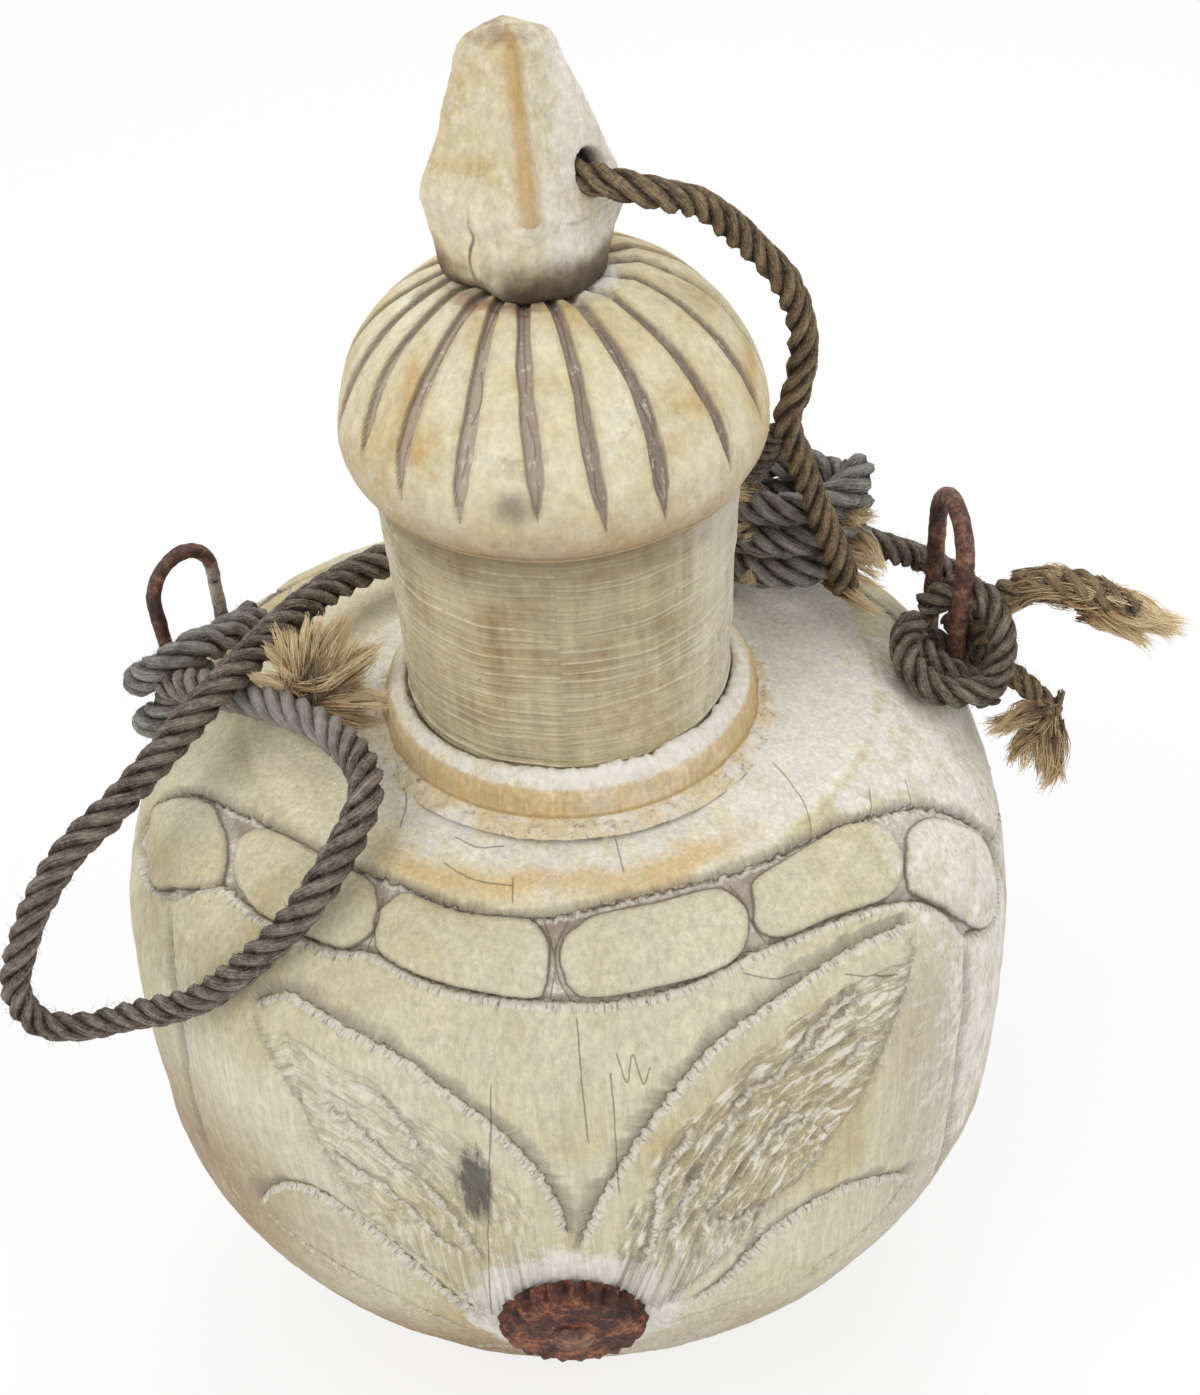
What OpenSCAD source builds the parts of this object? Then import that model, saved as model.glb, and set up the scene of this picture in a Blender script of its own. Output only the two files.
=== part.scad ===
// Carved wooden water bottle with a turned neck, a push-in stopper on a rope tether and a
// carrying rope knotted to two iron staples.
// Millimetres. X runs to the right, Y to the back, Z up. The origin is the middle of the flat
// face that the bottle stands on.

/* [Body] */
// Width of the body at its belly
body_width = 209; // [160:1:260]
// Depth of the body at its belly, front to back
body_depth = 186; // [150:1:230]
// Height of the belly, the widest level, above the foot
belly_height = 98; // [80:1:120]
// Height of the shoulder above the foot
shoulder_height = 205; // [180:1:240]
// How far below the belly the curve of the underside would close, were the foot not cut flat
underside_drop = 112; // [104:1:130]
// Wall left between the outside and the hollow
body_wall = 14; // [10:1:20]
// Thickness of the wood under the hollow
floor_thickness = 20; // [12:1:30]

/* [Body form] */
// Squareness of the shoulders, 2 is an ellipse
shoulder_squareness = 4.1; // [2.5:0.1:5]
// Fullness of the underside, 2 is an ellipse
underside_fullness = 1.55; // [1.4:0.05:2]
// Fullness of the level section at the belly, 2 is an ellipse
belly_section = 2.1; // [1.9:0.1:3]
// Fullness of the level section at the shoulder
shoulder_section = 2.5; // [1.9:0.1:3]

/* [Neck] */
// How far the neck stands to the right of the middle of the body
neck_x = 3; // [-6:1:6]
// How far the neck stands behind the middle of the body, in front when negative
neck_y = -12; // [-16:1:6]
// Height of the neck above the collar
neck_height = 51; // [35:1:70]
// Width of the neck where it meets the collar
neck_foot_d = 69; // [64:1:76]
// Width of the neck at its mouth
neck_mouth_d = 73; // [66:1:80]
// Bore of the neck
bore_d = 50; // [40:1:52]
// Depth to which the neck is let into the collar
neck_seat = 12; // [6:1:18]
// Width of the part of the neck that is let in
neck_spigot_d = 62; // [58:1:62]
// Height of the collar above the shoulder
collar_height = 10; // [6:1:14]
// Width of the collar's rim around the foot of the neck
collar_rim = 5.4; // [4:0.2:8]
// Height of the collar's outer wall
collar_wall = 5.8; // [4:0.2:8]
// Depth of the groove between the collar's rim and the neck
collar_groove = 1.6; // [0.6:0.2:2.4]
// Gap left for the glue around the neck in its socket
glue_gap = 0.1; // [0.05:0.05:0.3]

/* [Carving] */
// Depth of the carved lines on the body
carve_depth = 2; // [1:0.2:3]
// Width of those lines
carve_width = 4.4; // [3:0.2:6]
// Depth of the flutes in the dome
flute_depth = 1.4; // [0.8:0.2:2.4]
// Width of the flutes in the dome
flute_width = 4.8; // [3:0.2:5]

/* [Stopper] */
// Width of the dome where it is widest
dome_d = 84.4; // [78:0.2:92]
// Width of the dome at its lower rim
dome_rim_d = 77; // [74:1:82]
// Height of the rim below the widest level of the dome
dome_rim_height = 9; // [5:1:14]
// Height to which the curve of the dome above its widest level would close
dome_rise = 35.4; // [28:0.2:46]
// Width of the flat on top of the dome, where the finial stands
dome_top_d = 35; // [34:1:44]
// Length of the plug below the dome
plug_length = 30; // [18:1:40]
// Running gap around the plug
plug_gap = 0.3; // [0.2:0.05:0.6]
// Gap between the dome's rim and the mouth of the neck
rim_gap = 0.3; // [0.2:0.05:0.5]

/* [Finial] */
// How far the finial stands to the left of the dome's middle
finial_left = 3.5; // [0:0.5:6]
// Height of the finial above the dome
finial_height = 47; // [36:1:60]
// Width of the finial across its corners
finial_d = 40; // [36:1:50]
// Width of the finial's round foot
finial_foot_d = 31; // [26:1:34]
// Height of the corners above the finial's foot
finial_corner_height = 13; // [9:1:18]
// Turn of the finial's corners about its axis, in degrees
finial_turn = 8; // [0:1:20]
// Width of the tenon that holds the finial in the dome
tenon_d = 16; // [10:1:22]
// Length of that tenon
tenon_length = 14; // [8:1:20]
// Height of the tether's hole above the finial's foot
tether_hole_height = 19; // [16:0.5:22]
// Bore of the blind hole that holds the tether
tether_hole_d = 8; // [7.7:0.1:9]
// Depth of that hole
tether_hole_depth = 15; // [12:1:18]

/* [Metal] */
// Width of the crown cap over its points
cap_d = 33; // [28:1:38]
// Height of the crown cap
cap_height = 6; // [4:0.5:8]
// Number of points around the crown cap
cap_points = 21; // [15:1:27]
// Thickness of the crown cap's sheet
cap_sheet = 0.8; // [0.5:0.1:1.2]
// Height of the crown cap's middle above the foot
cap_z = 91; // [84:1:98]
// Tilt of the crown cap below level, in degrees
cap_tilt = 8; // [0:1:12]
// Width of the nail's head
nail_head_d = 10; // [7:0.5:14]
// Height of the nail's head
nail_head_height = 2; // [1.5:0.5:4]
// Width of the nail's shank
nail_d = 3.2; // [2:0.2:4]
// Length of the nail's shank in the wood
nail_length = 9; // [5:1:11]
// Thickness of the right staple's wire
wire_d = 4.4; // [3:0.2:6]
// Thickness of the left staple's wire
left_wire_d = 3.8; // [3:0.2:6]
// Depth of the staple legs in the wood
staple_bite = 9; // [6:1:10]
// Gap between two legs of the right staple, middle to middle
right_staple_span = 22; // [18:1:26]
// Height of the right staple's bow above the shoulder
right_staple_rise = 27; // [20:1:35]
// Gap between two legs of the left staple, middle to middle
left_staple_span = 18; // [16:1:22]
// Height of the left staple's bow above the shoulder
left_staple_rise = 22; // [14:1:31]

/* [Rope] */
// Thickness of the carrying rope
rope_d = 8; // [6:0.5:9]
// Thickness of the tether
tether_d = 7; // [5:0.5:7.5]
// Space between neighbouring turns of a knot's winding
turn_gap = 0.6; // [0.5:0.1:1.5]
// Gap between the ropes' knots and the wood they lie on
rope_seat_gap = 0.3; // [0.2:0.05:0.5]

/* [Hidden] */
$fn = 64;

wood = "#cfc8ac";
wood_dark = "#b8ad8a";
rust = "#6b4335";
rope_brown = "#5b5048";
rope_grey = "#8a8a84";
straw = "#b99a63";

body_sides = 48;
body_rows = 13;
hollow_sides = 36;
hollow_rows = 7;
full_turn = 360;
quarter = 90;
touch = 0.01;

// Half sizes of the level section of the outside at its belly
half_width = body_width / 2;
half_depth = body_depth / 2;
shoulder_rise = shoulder_height - belly_height;

// How far the superellipse that a rise or a drop follows has drawn in, from 1 at the belly to 0
function drawn_in(share, power) = pow(max(0, 1 - pow(share, power)), 1 / power);

// Reach of a superellipse with half sizes a and b in the direction of an angle
function reach(angle, a, b, power) =
    pow(pow(abs(cos(angle)) / a, power) + pow(abs(sin(angle)) / b, power), -1 / power);

// Level sections from the foot up: height, share of the belly's size, fullness
function sections(rise, drop, rows, low) = concat(
    [for (i = [rows:-1:1])
        let (share = low / drop, last = asin(pow(share, underside_fullness / 2)),
            a = last * i / rows)
        [belly_height - drop * pow(sin(a), 2 / underside_fullness),
            pow(cos(a), 2 / underside_fullness), belly_section]],
    [for (i = [0:rows])
        let (a = (quarter - 3) * i / rows, t = pow(sin(a), 2 / shoulder_squareness))
        [belly_height + rise * t, pow(cos(a), 2 / shoulder_squareness),
            belly_section + (shoulder_section - belly_section) * t]]);

// Rings of points on those sections
function section_ring(s, a, b, sides) = [for (k = [0:sides - 1])
    let (angle = full_turn * k / sides, r = reach(angle, a, b, s[2]) * s[1])
    [r * cos(angle), r * sin(angle), s[0]]];

// Closed skin over rings of equal length
module skin(rings) {
    n = len(rings[0]);
    m = len(rings);
    points = [for (ring = rings) for (p = ring) p];
    sides = [for (i = [0:m - 2]) for (k = [0:n - 1])
        let (j = (k + 1) % n)
        each [[i * n + k, (i + 1) * n + k, (i + 1) * n + j],
            [i * n + k, (i + 1) * n + j, i * n + j]]];
    bottom = [[for (k = [0:n - 1]) k]];
    top = [[for (k = [n - 1:-1:0]) (m - 1) * n + k]];
    polyhedron(points, concat(sides, bottom, top));
}

// Height of the shoulder above a place, found by halving
function shoulder_at(x, y, low = 0, high = 1, step = 0) =
    let (t = (low + high) / 2, n = belly_section + (shoulder_section - belly_section) * t)
    step > 20 ? belly_height + shoulder_rise * t :
    pow(abs(x) / half_width, n) + pow(abs(y) / half_depth, n)
        <= pow(drawn_in(t, shoulder_squareness), n) ?
        shoulder_at(x, y, t, high, step + 1) : shoulder_at(x, y, low, t, step + 1);

// Share of the belly's size at a height
function share_at(z) = z > belly_height
    ? drawn_in((z - belly_height) / shoulder_rise, shoulder_squareness)
    : drawn_in((belly_height - z) / underside_drop, underside_fullness);

// Distance of the front of the body from the middle at a height
function front_at(z) = half_depth * share_at(z);

collar_z = shoulder_height + collar_height;
mouth_z = collar_z + neck_height;
collar_d = neck_foot_d + 2 * collar_rim;
collar_foot_d = collar_d + 1;
groove_d = neck_foot_d + 0.6;

module outside() {
    skin([for (s = sections(shoulder_rise, underside_drop, body_rows, belly_height))
        section_ring(s, half_width, half_depth, body_sides)]);
}

module hollow() {
    skin([for (s = sections(shoulder_rise - body_wall, underside_drop, hollow_rows,
            belly_height - floor_thickness))
        section_ring(s, half_width - body_wall, half_depth - body_wall, hollow_sides)]);
}

// Whether a place is inside the outer form
function is_inside(p) =
    let (t = max(0, p[2] - belly_height) / shoulder_rise,
        n = belly_section + (shoulder_section - belly_section) * t)
    pow(abs(p[0]) / half_width, n) + pow(abs(p[1]) / half_depth, n) <= pow(share_at(p[2]), n);

// Place on the body in a direction from the middle of its belly, found by halving:
// degrees round from the front, then degrees up from level
function on_body(line_point, low = 0, high = 1, step = 0) =
    let (round = line_point[0], up = line_point[1], far = body_width * (low + high) / 2,
        p = [far * sin(round) * cos(up), -far * cos(round) * cos(up), belly_height + far * sin(up)])
    step > 16 ? p :
    is_inside(p) ? on_body(line_point, (low + high) / 2, high, step + 1)
        : on_body(line_point, low, (low + high) / 2, step + 1);

// Outward direction there, from four places close by
function out_of_body(a) = unit(cross(on_body(a + [1, 0]) - on_body(a - [1, 0]),
    on_body(a + [0, 1]) - on_body(a - [0, 1])));

// A V-shaped cutter along places p with outward directions n, narrowed at places by shares s
module v_cutter(p, n, s, width, depth) {
    rise = 1.2;
    spread = width / 2 * (depth + rise) / depth;
    skin([for (i = [0:len(p) - 1])
        let (across = unit(cross(heading(p, i), n[i])) * spread * s[i], top = p[i] + n[i] * rise)
        [top + across, p[i] - n[i] * depth * s[i], top - across]]);
}

// Lines of the carving, each place as degrees round from the front and up from the belly
band_outer = [[-78, 42], [-72, 48], [-63, 51.5], [-53, 53.5], [-40, 54.5], [-27, 55], [-14, 54],
    [-3, 54], [10, 55], [27, 54.5], [42, 53.5], [50, 52.5], [57, 50.5], [63, 48], [68, 44], [72, 39],
    [76, 35], [82, 34], [88, 35], [95, 38.5], [102, 42], [105, 45]];
band_inner = [[-60, 41], [-54, 46], [-43, 46.5], [-33, 47], [-27, 48], [-17, 46.5], [-6, 46],
    [5, 45.5], [16, 45.5], [27, 46.5], [37, 46], [44, 45], [49, 43.5], [53, 41.5], [56, 38.5],
    [58.5, 34]];
panel_sides = [[[-60, 41], [-57, 36.5], [-55, 31], [-54.5, 27], [-55.5, 20], [-56.5, 13], [-57, 4]],
    [[58.5, 34], [57.5, 28], [56.5, 20], [57, 12], [57.5, 2]],
    [[-78, 42], [-80, 34], [-80, 20], [-79, 6]],
    [[72, 39], [75.5, 30], [77, 16], [77.5, 4]]];
band_gaps = [[[-60, 52], [-56, 49.5], [-53, 46.5]], [[-31, 55], [-28.5, 51.5], [-27.5, 48]],
    [[-2.5, 54], [-1, 50], [-1.5, 45.5]], [[29, 54.5], [29, 50.5], [30, 46]],
    [[57, 50.5], [54.5, 46], [52, 42]], [[-60, 42], [-67, 39], [-78, 38]],
    [[58.5, 34], [64, 31], [69, 30], [74.5, 33]]];
petals = [[[0, 10], [2, 16.5], [4, 21.5], [7, 26.5], [10.5, 31.5], [14.5, 35.5], [19.5, 39],
        [26, 41], [32, 42], [38, 42.5], [44.5, 42], [51, 40.5]],
    [[51, 40.5], [45.5, 34], [42.5, 31], [39, 26], [35, 22], [31, 16.5], [26, 13], [22.5, 8],
        [17, 2], [10, -4]],
    [[-1, 12], [-1.5, 18], [-3.5, 24], [-6.5, 28.5], [-11, 33], [-16, 36], [-21, 38.5], [-28, 40],
        [-33.5, 41], [-38, 41], [-42.5, 38]],
    [[-42.5, 38], [-37, 31.5], [-34, 27.5], [-30.5, 18], [-28, 12.5], [-23.5, 8], [-19, 3.5],
        [-13, -5]],
    [[49.5, 2.5], [44, 6.5], [38.5, 9.5], [34, 10], [29.5, 9], [25.5, 6.5], [18.5, -2], [15, -5]],
    [[49.5, 2.5], [46, -1], [41.5, -3.5], [36, -6], [30, -8], [23, -9], [17, -10], [12, -12]],
    [[-47, 4], [-43.5, 9.5], [-39, 13.5], [-35, 14.5], [-31, 13], [-27, 10], [-19, 0.5], [-13, -7.5]],
    [[-47, 4], [-43.5, 1.5], [-38.5, 0], [-32.5, -2], [-26, -5.5], [-21, -9.5], [-16, -14]]];

module carved_line(line) {
    last = len(line) - 1;
    v_cutter([for (a = line) on_body(a)], [for (a = line) out_of_body(a)],
        [for (i = [0:last]) i == 0 || i == last ? 0.6 : 1], carve_width, carve_depth);
}

// The front's carving, and the same on the back
module carving() {
    for (side = [0, full_turn / 2], line = concat([band_outer, band_inner], panel_sides, band_gaps,
        petals))
        rotate(side) carved_line(line);
}

module at_neck(z = 0) {
    translate([neck_x, neck_y, z]) children();
}

// Crown cap and nail lie along their own Z, which points out of the front
cap_seat = front_at(cap_z) - 2;
module at_cap() {
    translate([-2, -cap_seat, cap_z]) rotate([quarter + cap_tilt, 0, 0]) children();
}

// Places of the staple legs, near leg first
right_near = [half_width - 13, 9];
right_turn = 98;
left_near = [14.5 - half_width, 10];
left_turn = 52;
right_far = right_near + right_staple_span * [cos(right_turn), sin(right_turn)];
left_far = left_near + left_staple_span * [cos(left_turn), sin(left_turn)];

module leg_hole(place, d) {
    z = shoulder_at(place[0], place[1]) - staple_bite;
    translate([place[0], place[1], z]) cylinder(d = d, h = staple_bite * 3);
}

module body() {
    color(wood) difference() {
        union() {
            difference() {
                outside();
                carving();
            }
            at_neck(shoulder_height) rotate_extrude() polygon([[0, -collar_height],
                [collar_foot_d / 2, -collar_height], [collar_foot_d / 2, 0], [collar_d / 2, collar_wall],
                [groove_d / 2 + 0.5, collar_height - collar_groove], [groove_d / 2, collar_height],
                [0, collar_height]]);
        }
        hollow();
        at_neck(collar_z - neck_seat) cylinder(d = neck_spigot_d + 2 * glue_gap, h = neck_seat + 1);
        at_neck(shoulder_height - body_wall - neck_seat) cylinder(d = bore_d, h = body_wall * 3);
        for (place = [right_near, right_far]) leg_hole(place, wire_d);
        for (place = [left_near, left_far]) leg_hole(place, left_wire_d);
        at_cap() cylinder(d = cap_d + 2, h = cap_height);
        at_cap() translate([0, 0, -nail_length]) cylinder(d = nail_d, h = nail_length + 1);
    }
}

module neck() {
    color(wood_dark) at_neck() rotate_extrude() polygon([
        [bore_d / 2, collar_z - neck_seat], [neck_spigot_d / 2, collar_z - neck_seat],
        [neck_spigot_d / 2, collar_z], [neck_foot_d / 2, collar_z],
        [neck_mouth_d / 2, mouth_z], [bore_d / 2, mouth_z]]);
}

dome_z = mouth_z + rim_gap + dome_rim_height;
dome_top_angle = acos(dome_top_d / dome_d);
dome_top_z = dome_z + dome_rise * sin(dome_top_angle);
finial_z = dome_top_z;

// Directions of the flutes as they leave the finial's foot, in degrees round from the front
flute_turns = [-129, -111, -93, -75, -56, -37, -18, 1, 17.5, 34, 54.5, 74.5, 93, 111, 129, 147, 165,
    183, 200, 216];

// Places along a flute: the dome's level circles met by a straight line from the finial's axis
function flute_place(turn, level) =
    let (r = dome_d / 2 * cos(level), out = [sin(turn), -cos(turn)], side = [-finial_left, 0],
        far = sqrt(pow(side * out, 2) - side * side + r * r) - side * out, at = side + far * out)
    [at[0], at[1], dome_z + dome_rise * sin(level)];
function out_of_dome(p) = unit([p[0] / pow(dome_d / 2, 2), p[1] / pow(dome_d / 2, 2),
    (p[2] - dome_z) / pow(dome_rise, 2)]);

module flute(turn) {
    levels = [3, 10, 20, 32, 46, 60];
    p = [for (a = levels) flute_place(turn, a)];
    v_cutter(p, [for (q = p) out_of_dome(q)], [0.15, 0.6, 0.9, 1, 1, 0.9], flute_width, flute_depth);
}

module stopper_dome() {
    steps = 12;
    crown = [for (i = [0:steps]) let (a = dome_top_angle * i / steps)
        [dome_d / 2 * cos(a), dome_z + dome_rise * sin(a)]];
    color(wood) difference() {
        at_neck() union() {
            rotate_extrude() polygon(concat([[0, dome_z - dome_rim_height],
                [dome_rim_d / 2, dome_z - dome_rim_height],
                [dome_d / 2 - 0.8, dome_z - dome_rim_height * 0.4]], crown,
                [[0, dome_top_z]]));
            translate([0, 0, mouth_z + rim_gap - plug_length])
                cylinder(d = bore_d - 2 * plug_gap, h = plug_length + 1);
        }
        at_finial() translate([0, 0, -tenon_length]) cylinder(d = tenon_d, h = tenon_length + 1);
        at_neck() for (turn = flute_turns) flute(turn);
    }
}

module at_finial() {
    at_neck(finial_z) translate([-finial_left, 0, 0]) rotate(finial_turn) children();
}

// Widths of the four-sided finial across its corners at shares of its height
finial_steps = [[0.28, 1], [0.51, 0.83], [0.78, 0.56], [0.93, 0.37], [1, 0.17]];
hole_turn = -30;
tether_mouth = [neck_x - finial_left + 0.325 * finial_d, neck_y - 0.1125 * finial_d,
    finial_z + tether_hole_height];

module stopper_finial() {
    color(wood) difference() {
        union() {
            at_finial() hull() {
                cylinder(d = finial_foot_d, h = touch, $fn = 32);
                translate([0, 0, finial_corner_height])
                    cylinder(d = finial_d, h = touch, $fn = 4);
                for (s = finial_steps) translate([0, 0, s[0] * finial_height - touch])
                    cylinder(d = finial_d * s[1], h = touch, $fn = 4);
            }
            at_finial() translate([0, 0, -tenon_length]) cylinder(d = tenon_d, h = tenon_length + touch);
        }
        translate(tether_mouth) rotate([0, quarter, hole_turn])
            translate([0, 0, -tether_hole_depth])
                cylinder(d = tether_hole_d, h = 2 * tether_hole_depth);
    }
}

module crown_cap() {
    inner = cap_d / 2 - cap_sheet;
    tooth = cap_d * sin(full_turn / cap_points / 2) * 0.62;
    color(rust) at_cap() difference() {
        rotate_extrude() polygon([[nail_d / 2, cap_height - cap_sheet],
            [inner * 0.8, cap_height - cap_sheet], [inner, 0], [cap_d / 2, 0],
            [inner * 0.84, cap_height], [nail_d / 2, cap_height]]);
        for (i = [0:cap_points - 1]) rotate(full_turn * i / cap_points)
            translate([cap_d / 2, 0, -touch]) cylinder(d = tooth, h = cap_height * 0.62);
    }
}

module cap_nail() {
    color(rust) at_cap() union() {
        translate([0, 0, -nail_length]) cylinder(d = nail_d, h = nail_length + cap_height);
        translate([0, 0, cap_height]) rotate_extrude() polygon([[0, 0], [nail_head_d / 2, 0],
            [nail_head_d / 2, nail_head_height * 0.4], [nail_head_d * 0.34, nail_head_height],
            [0, nail_head_height]]);
    }
}

// A staple is two straight legs joined by half a ring, drawn with the near leg on the left
module staple(near, far, rise, d) {
    span = norm(far - near);
    turn = atan2(far[1] - near[1], far[0] - near[0]);
    bow_z = shoulder_height + rise - d / 2 - span / 2;
    near_low = shoulder_at(near[0], near[1]) - staple_bite;
    far_low = shoulder_at(far[0], far[1]) - staple_bite;
    translate([(near[0] + far[0]) / 2, (near[1] + far[1]) / 2, bow_z]) rotate([quarter, 0, turn])
        union() {
            rotate_extrude(angle = full_turn / 2) translate([span / 2, 0]) circle(d = d);
            translate([-span / 2, 0, 0]) rotate([quarter, 0, 0])
                cylinder(d = d, h = bow_z - near_low);
            translate([span / 2, 0, 0]) rotate([quarter, 0, 0])
                cylinder(d = d, h = bow_z - far_low);
        }
}

module left_staple() {
    color(rust) staple(left_near, left_far, left_staple_rise, left_wire_d);
}

module right_staple() {
    color(rust) staple(right_near, right_far, right_staple_rise, wire_d);
}

function unit(v) = v / norm(v);
function heading(p, i) = unit(p[min(len(p) - 1, i + 1)] - p[max(0, i - 1)]);
function level_to(v, along) = unit(v - (v * along) * along);

// Rings of a tube along points, each carried on from the one before without twist
function tube_rings(p, d, sides, start = [0.31, 0.17, 0.93]) =
    let (frames = [for (i = 0, v = level_to(start, heading(p, 0)); i < len(p);
            i = i + 1, v = level_to(v, heading(p, min(i, len(p) - 1)))) v])
    [for (i = [0:len(p) - 1]) let (u = frames[i], w = cross(heading(p, i), u))
        [for (k = [0:sides - 1]) let (a = full_turn * k / sides)
            p[i] + d / 2 * (cos(a) * u + sin(a) * w)]];

module tube(p, d, sides = 8) {
    skin(tube_rings(p, d, sides));
}

rope_sides = 8;
turn_sides = 6;
turn_rings = 24;

function turned(p, angle) = [p[0] * cos(angle) - p[1] * sin(angle),
    p[0] * sin(angle) + p[1] * cos(angle)];

// A winding, from one count of turns to another. Each row of its table holds from its own count
// on: the count, the turn's middle, its height above the shoulder, half its length, half its
// width and its rise to the right
function wound(rows, angle, from, to) = [for (i = [from * turn_rings:to * turn_rings])
    let (s = i / turn_rings, k = max([for (j = [0:len(rows) - 2]) if (rows[j][0] <= s) j]),
        row = rows[k] + (s - rows[k][0]) / (rows[k + 1][0] - rows[k][0]) * (rows[k + 1] - rows[k]),
        a = full_turn * s, off = turned([row[4] * cos(a), row[5] * sin(a)], angle))
    [row[1] + off[0], row[2] + off[1], shoulder_height + row[3] + row[6] * off[0]]];

// A winding lifted where the wood would touch it
function laid_on_wood(p, d) =
    let (lifts = [for (ring = tube_rings(p, d, turn_sides))
            max([for (v = ring) shoulder_at(v[0], v[1]) - v[2]]) + rope_seat_gap])
    [for (i = [0:len(p) - 1]) p[i]
        + [0, 0, max(0, max([for (j = [max(0, i - 2):min(len(p) - 1, i + 2)]) lifts[j]]))]];

// The left knot goes round the near leg, then past both. A turn clears a leg by leg_gap
leg_gap = 0.6;
left_hug = (rope_d + left_wire_d) / 2 + leg_gap;
left_mid = (left_near + left_far) / 2;
left_reach = left_staple_span / 2 + left_hug;
left_bulge = left_hug * 1.43;
left_knot_path = laid_on_wood(wound([
    [0, left_near[0], left_near[1], -18, left_hug, left_hug, 0.9],
    [1, left_near[0], left_near[1], -12, left_hug, left_hug, 0.8],
    [1.5, left_near[0], left_near[1], -2.4, left_hug, left_hug, 0.5],
    [1.7, left_mid[0] - 1, left_mid[1] - 1.3, 2, left_reach - 1.3, left_bulge, 0.1],
    [1.875, left_mid[0], left_mid[1], -4, left_reach + 0.4, left_bulge, 0],
    [2, left_mid[0], left_mid[1], -4.7, left_reach + 0.4, left_bulge, 0]],
    left_turn, 0.375, 1.9375), rope_d);
right_hug = (tether_d + wire_d) / 2 + 4 * leg_gap;
right_knot_path = laid_on_wood(wound([
    [0, right_near[0] - 1, right_near[1], -17, right_hug + 1, right_hug, -0.7],
    [1.5, right_near[0] - 1, right_near[1], -2, right_hug + 1, right_hug, -0.7]],
    0, 0, 1.25), tether_d);
// The neck knot stands on the shoulder behind the neck's right side
neck_knot_place = [neck_x + 51, neck_y + 44];
neck_knot_path = laid_on_wood(wound([
    [0, neck_knot_place[0], neck_knot_place[1], 2, 1.9 * rope_d, 1.6 * rope_d, 0],
    [3, neck_knot_place[0], neck_knot_place[1], 2 + 3 * (rope_d + turn_gap), 1.9 * rope_d,
        1.6 * rope_d, 0]], 0, 0, 3), rope_d);

// Least space between turns of a winding, measured between rings more than half a turn apart
function least_gap(p, d) = min([for (i = [0:len(p) - 1])
    for (j = [i + turn_rings / 2 : 1 : len(p) - 1]) norm(p[i] - p[j])]) - d;
echo(left_knot_gap = least_gap(left_knot_path, rope_d));
echo(right_knot_gap = least_gap(right_knot_path, tether_d));
echo(neck_knot_gap = least_gap(neck_knot_path, rope_d));

// Routes of the ropes, with heights above the shoulder
function above_shoulder(route) = [for (p = route) p + [0, 0, shoulder_height]];
carry_route = above_shoulder([[41, 35, 8], [32, 38, 6], [18, 41, 5], [3, 42, 5], [-10, 41, 5],
    [-24, 39, 5], [-38, 31, 8], [-50, 20, 9], [-59, 4, 11], [-67, -13, 12], [-75, -26, 10],
    [-84, -36, 4], [-92, -44, -1], [-100, -50, -6], [-107, -56, -14], [-112, -60, -24],
    [-115, -62, -34], [-112, -63, -43], [-103, -64, -44], [-91, -66, -39], [-76, -70, -31],
    [-63, -72, -19], [-51, -70, -7], [-43, -62, 1], [-38, -52, 7], [-40, -42, 8], [-47, -32, 8],
    [-57, -22, 6], [-68, -14, 4], [-80, -5, 0], [-89, 3, -6]]);
staple_route = above_shoulder([[70, 32, 8], [79, 34, 3], [86, 39, -3], [94, 36, -6], [99, 27, -7],
    [99, 17, -7]]);
tether_route = concat([tether_mouth - [7.8, -4.5, 0], tether_mouth, tether_mouth + [5.5, -3, -0.2]],
    above_shoulder([[25, -18, 118.5], [33, -8, 111.5], [42, 0, 100], [49, 4, 90], [53, 8, 79],
        [54, 10, 70], [53, 10, 62], [51, 10, 53], [55, 12, 40], [60, 14, 25], [64, 16, 13],
        [66, 18, 4]]));
strand_route = above_shoulder([[50, 11, 51], [47, 16, 42], [45, 21, 35], [43, 27, 27],
    [43, 30, 21]]);
// The two tails follow the body's right edge, each place counted from it
function beside_body(route) = above_shoulder([for (p = route) p + [half_width, 0, 0]]);
long_route = beside_body([[-6.5, 12, -7.5], [-5.5, 12, 1], [0.5, 10, 8], [8.5, 7, 11],
    [16.5, 4, 10], [24.5, 1, 7]]);
short_route = beside_body([[-5.5, 5, -9], [0.5, 0, -11], [4.5, -3, -14], [7.5, -5, -17]]);

// The last point of a route, where its frayed end starts
function end_of(route) = route[len(route) - 1];

module left_knot() {
    color(rope_grey) tube(left_knot_path, rope_d, turn_sides);
}

module neck_knot() {
    color(rope_grey) tube(neck_knot_path, rope_d, turn_sides);
}

module right_knot() {
    color(rope_brown) tube(right_knot_path, tether_d, turn_sides);
}

module carry_rope() {
    color(rope_brown) tube(carry_route, rope_d, rope_sides);
}

module staple_rope() {
    color(rope_brown) tube(staple_route, tether_d, rope_sides);
}

module stopper_tether() {
    color(rope_brown) tube(tether_route, tether_d, rope_sides);
}

module tether_strand() {
    color(rope_brown) tube(strand_route, tether_d * 0.8, rope_sides);
}

module long_tail() {
    color(rope_brown) tube(long_route, tether_d, rope_sides);
}

module short_tail() {
    color(rope_brown) tube(short_route, tether_d * 0.8, rope_sides);
}

// A frayed end: a brush of fibres that opens out from one point to another
module fray(start, end, start_d, end_d) {
    run = end - start;
    translate(start) rotate([0, acos(run[2] / norm(run)), atan2(run[1], run[0])])
        cylinder(d1 = start_d, d2 = end_d, h = norm(run), $fn = 24);
}

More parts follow.
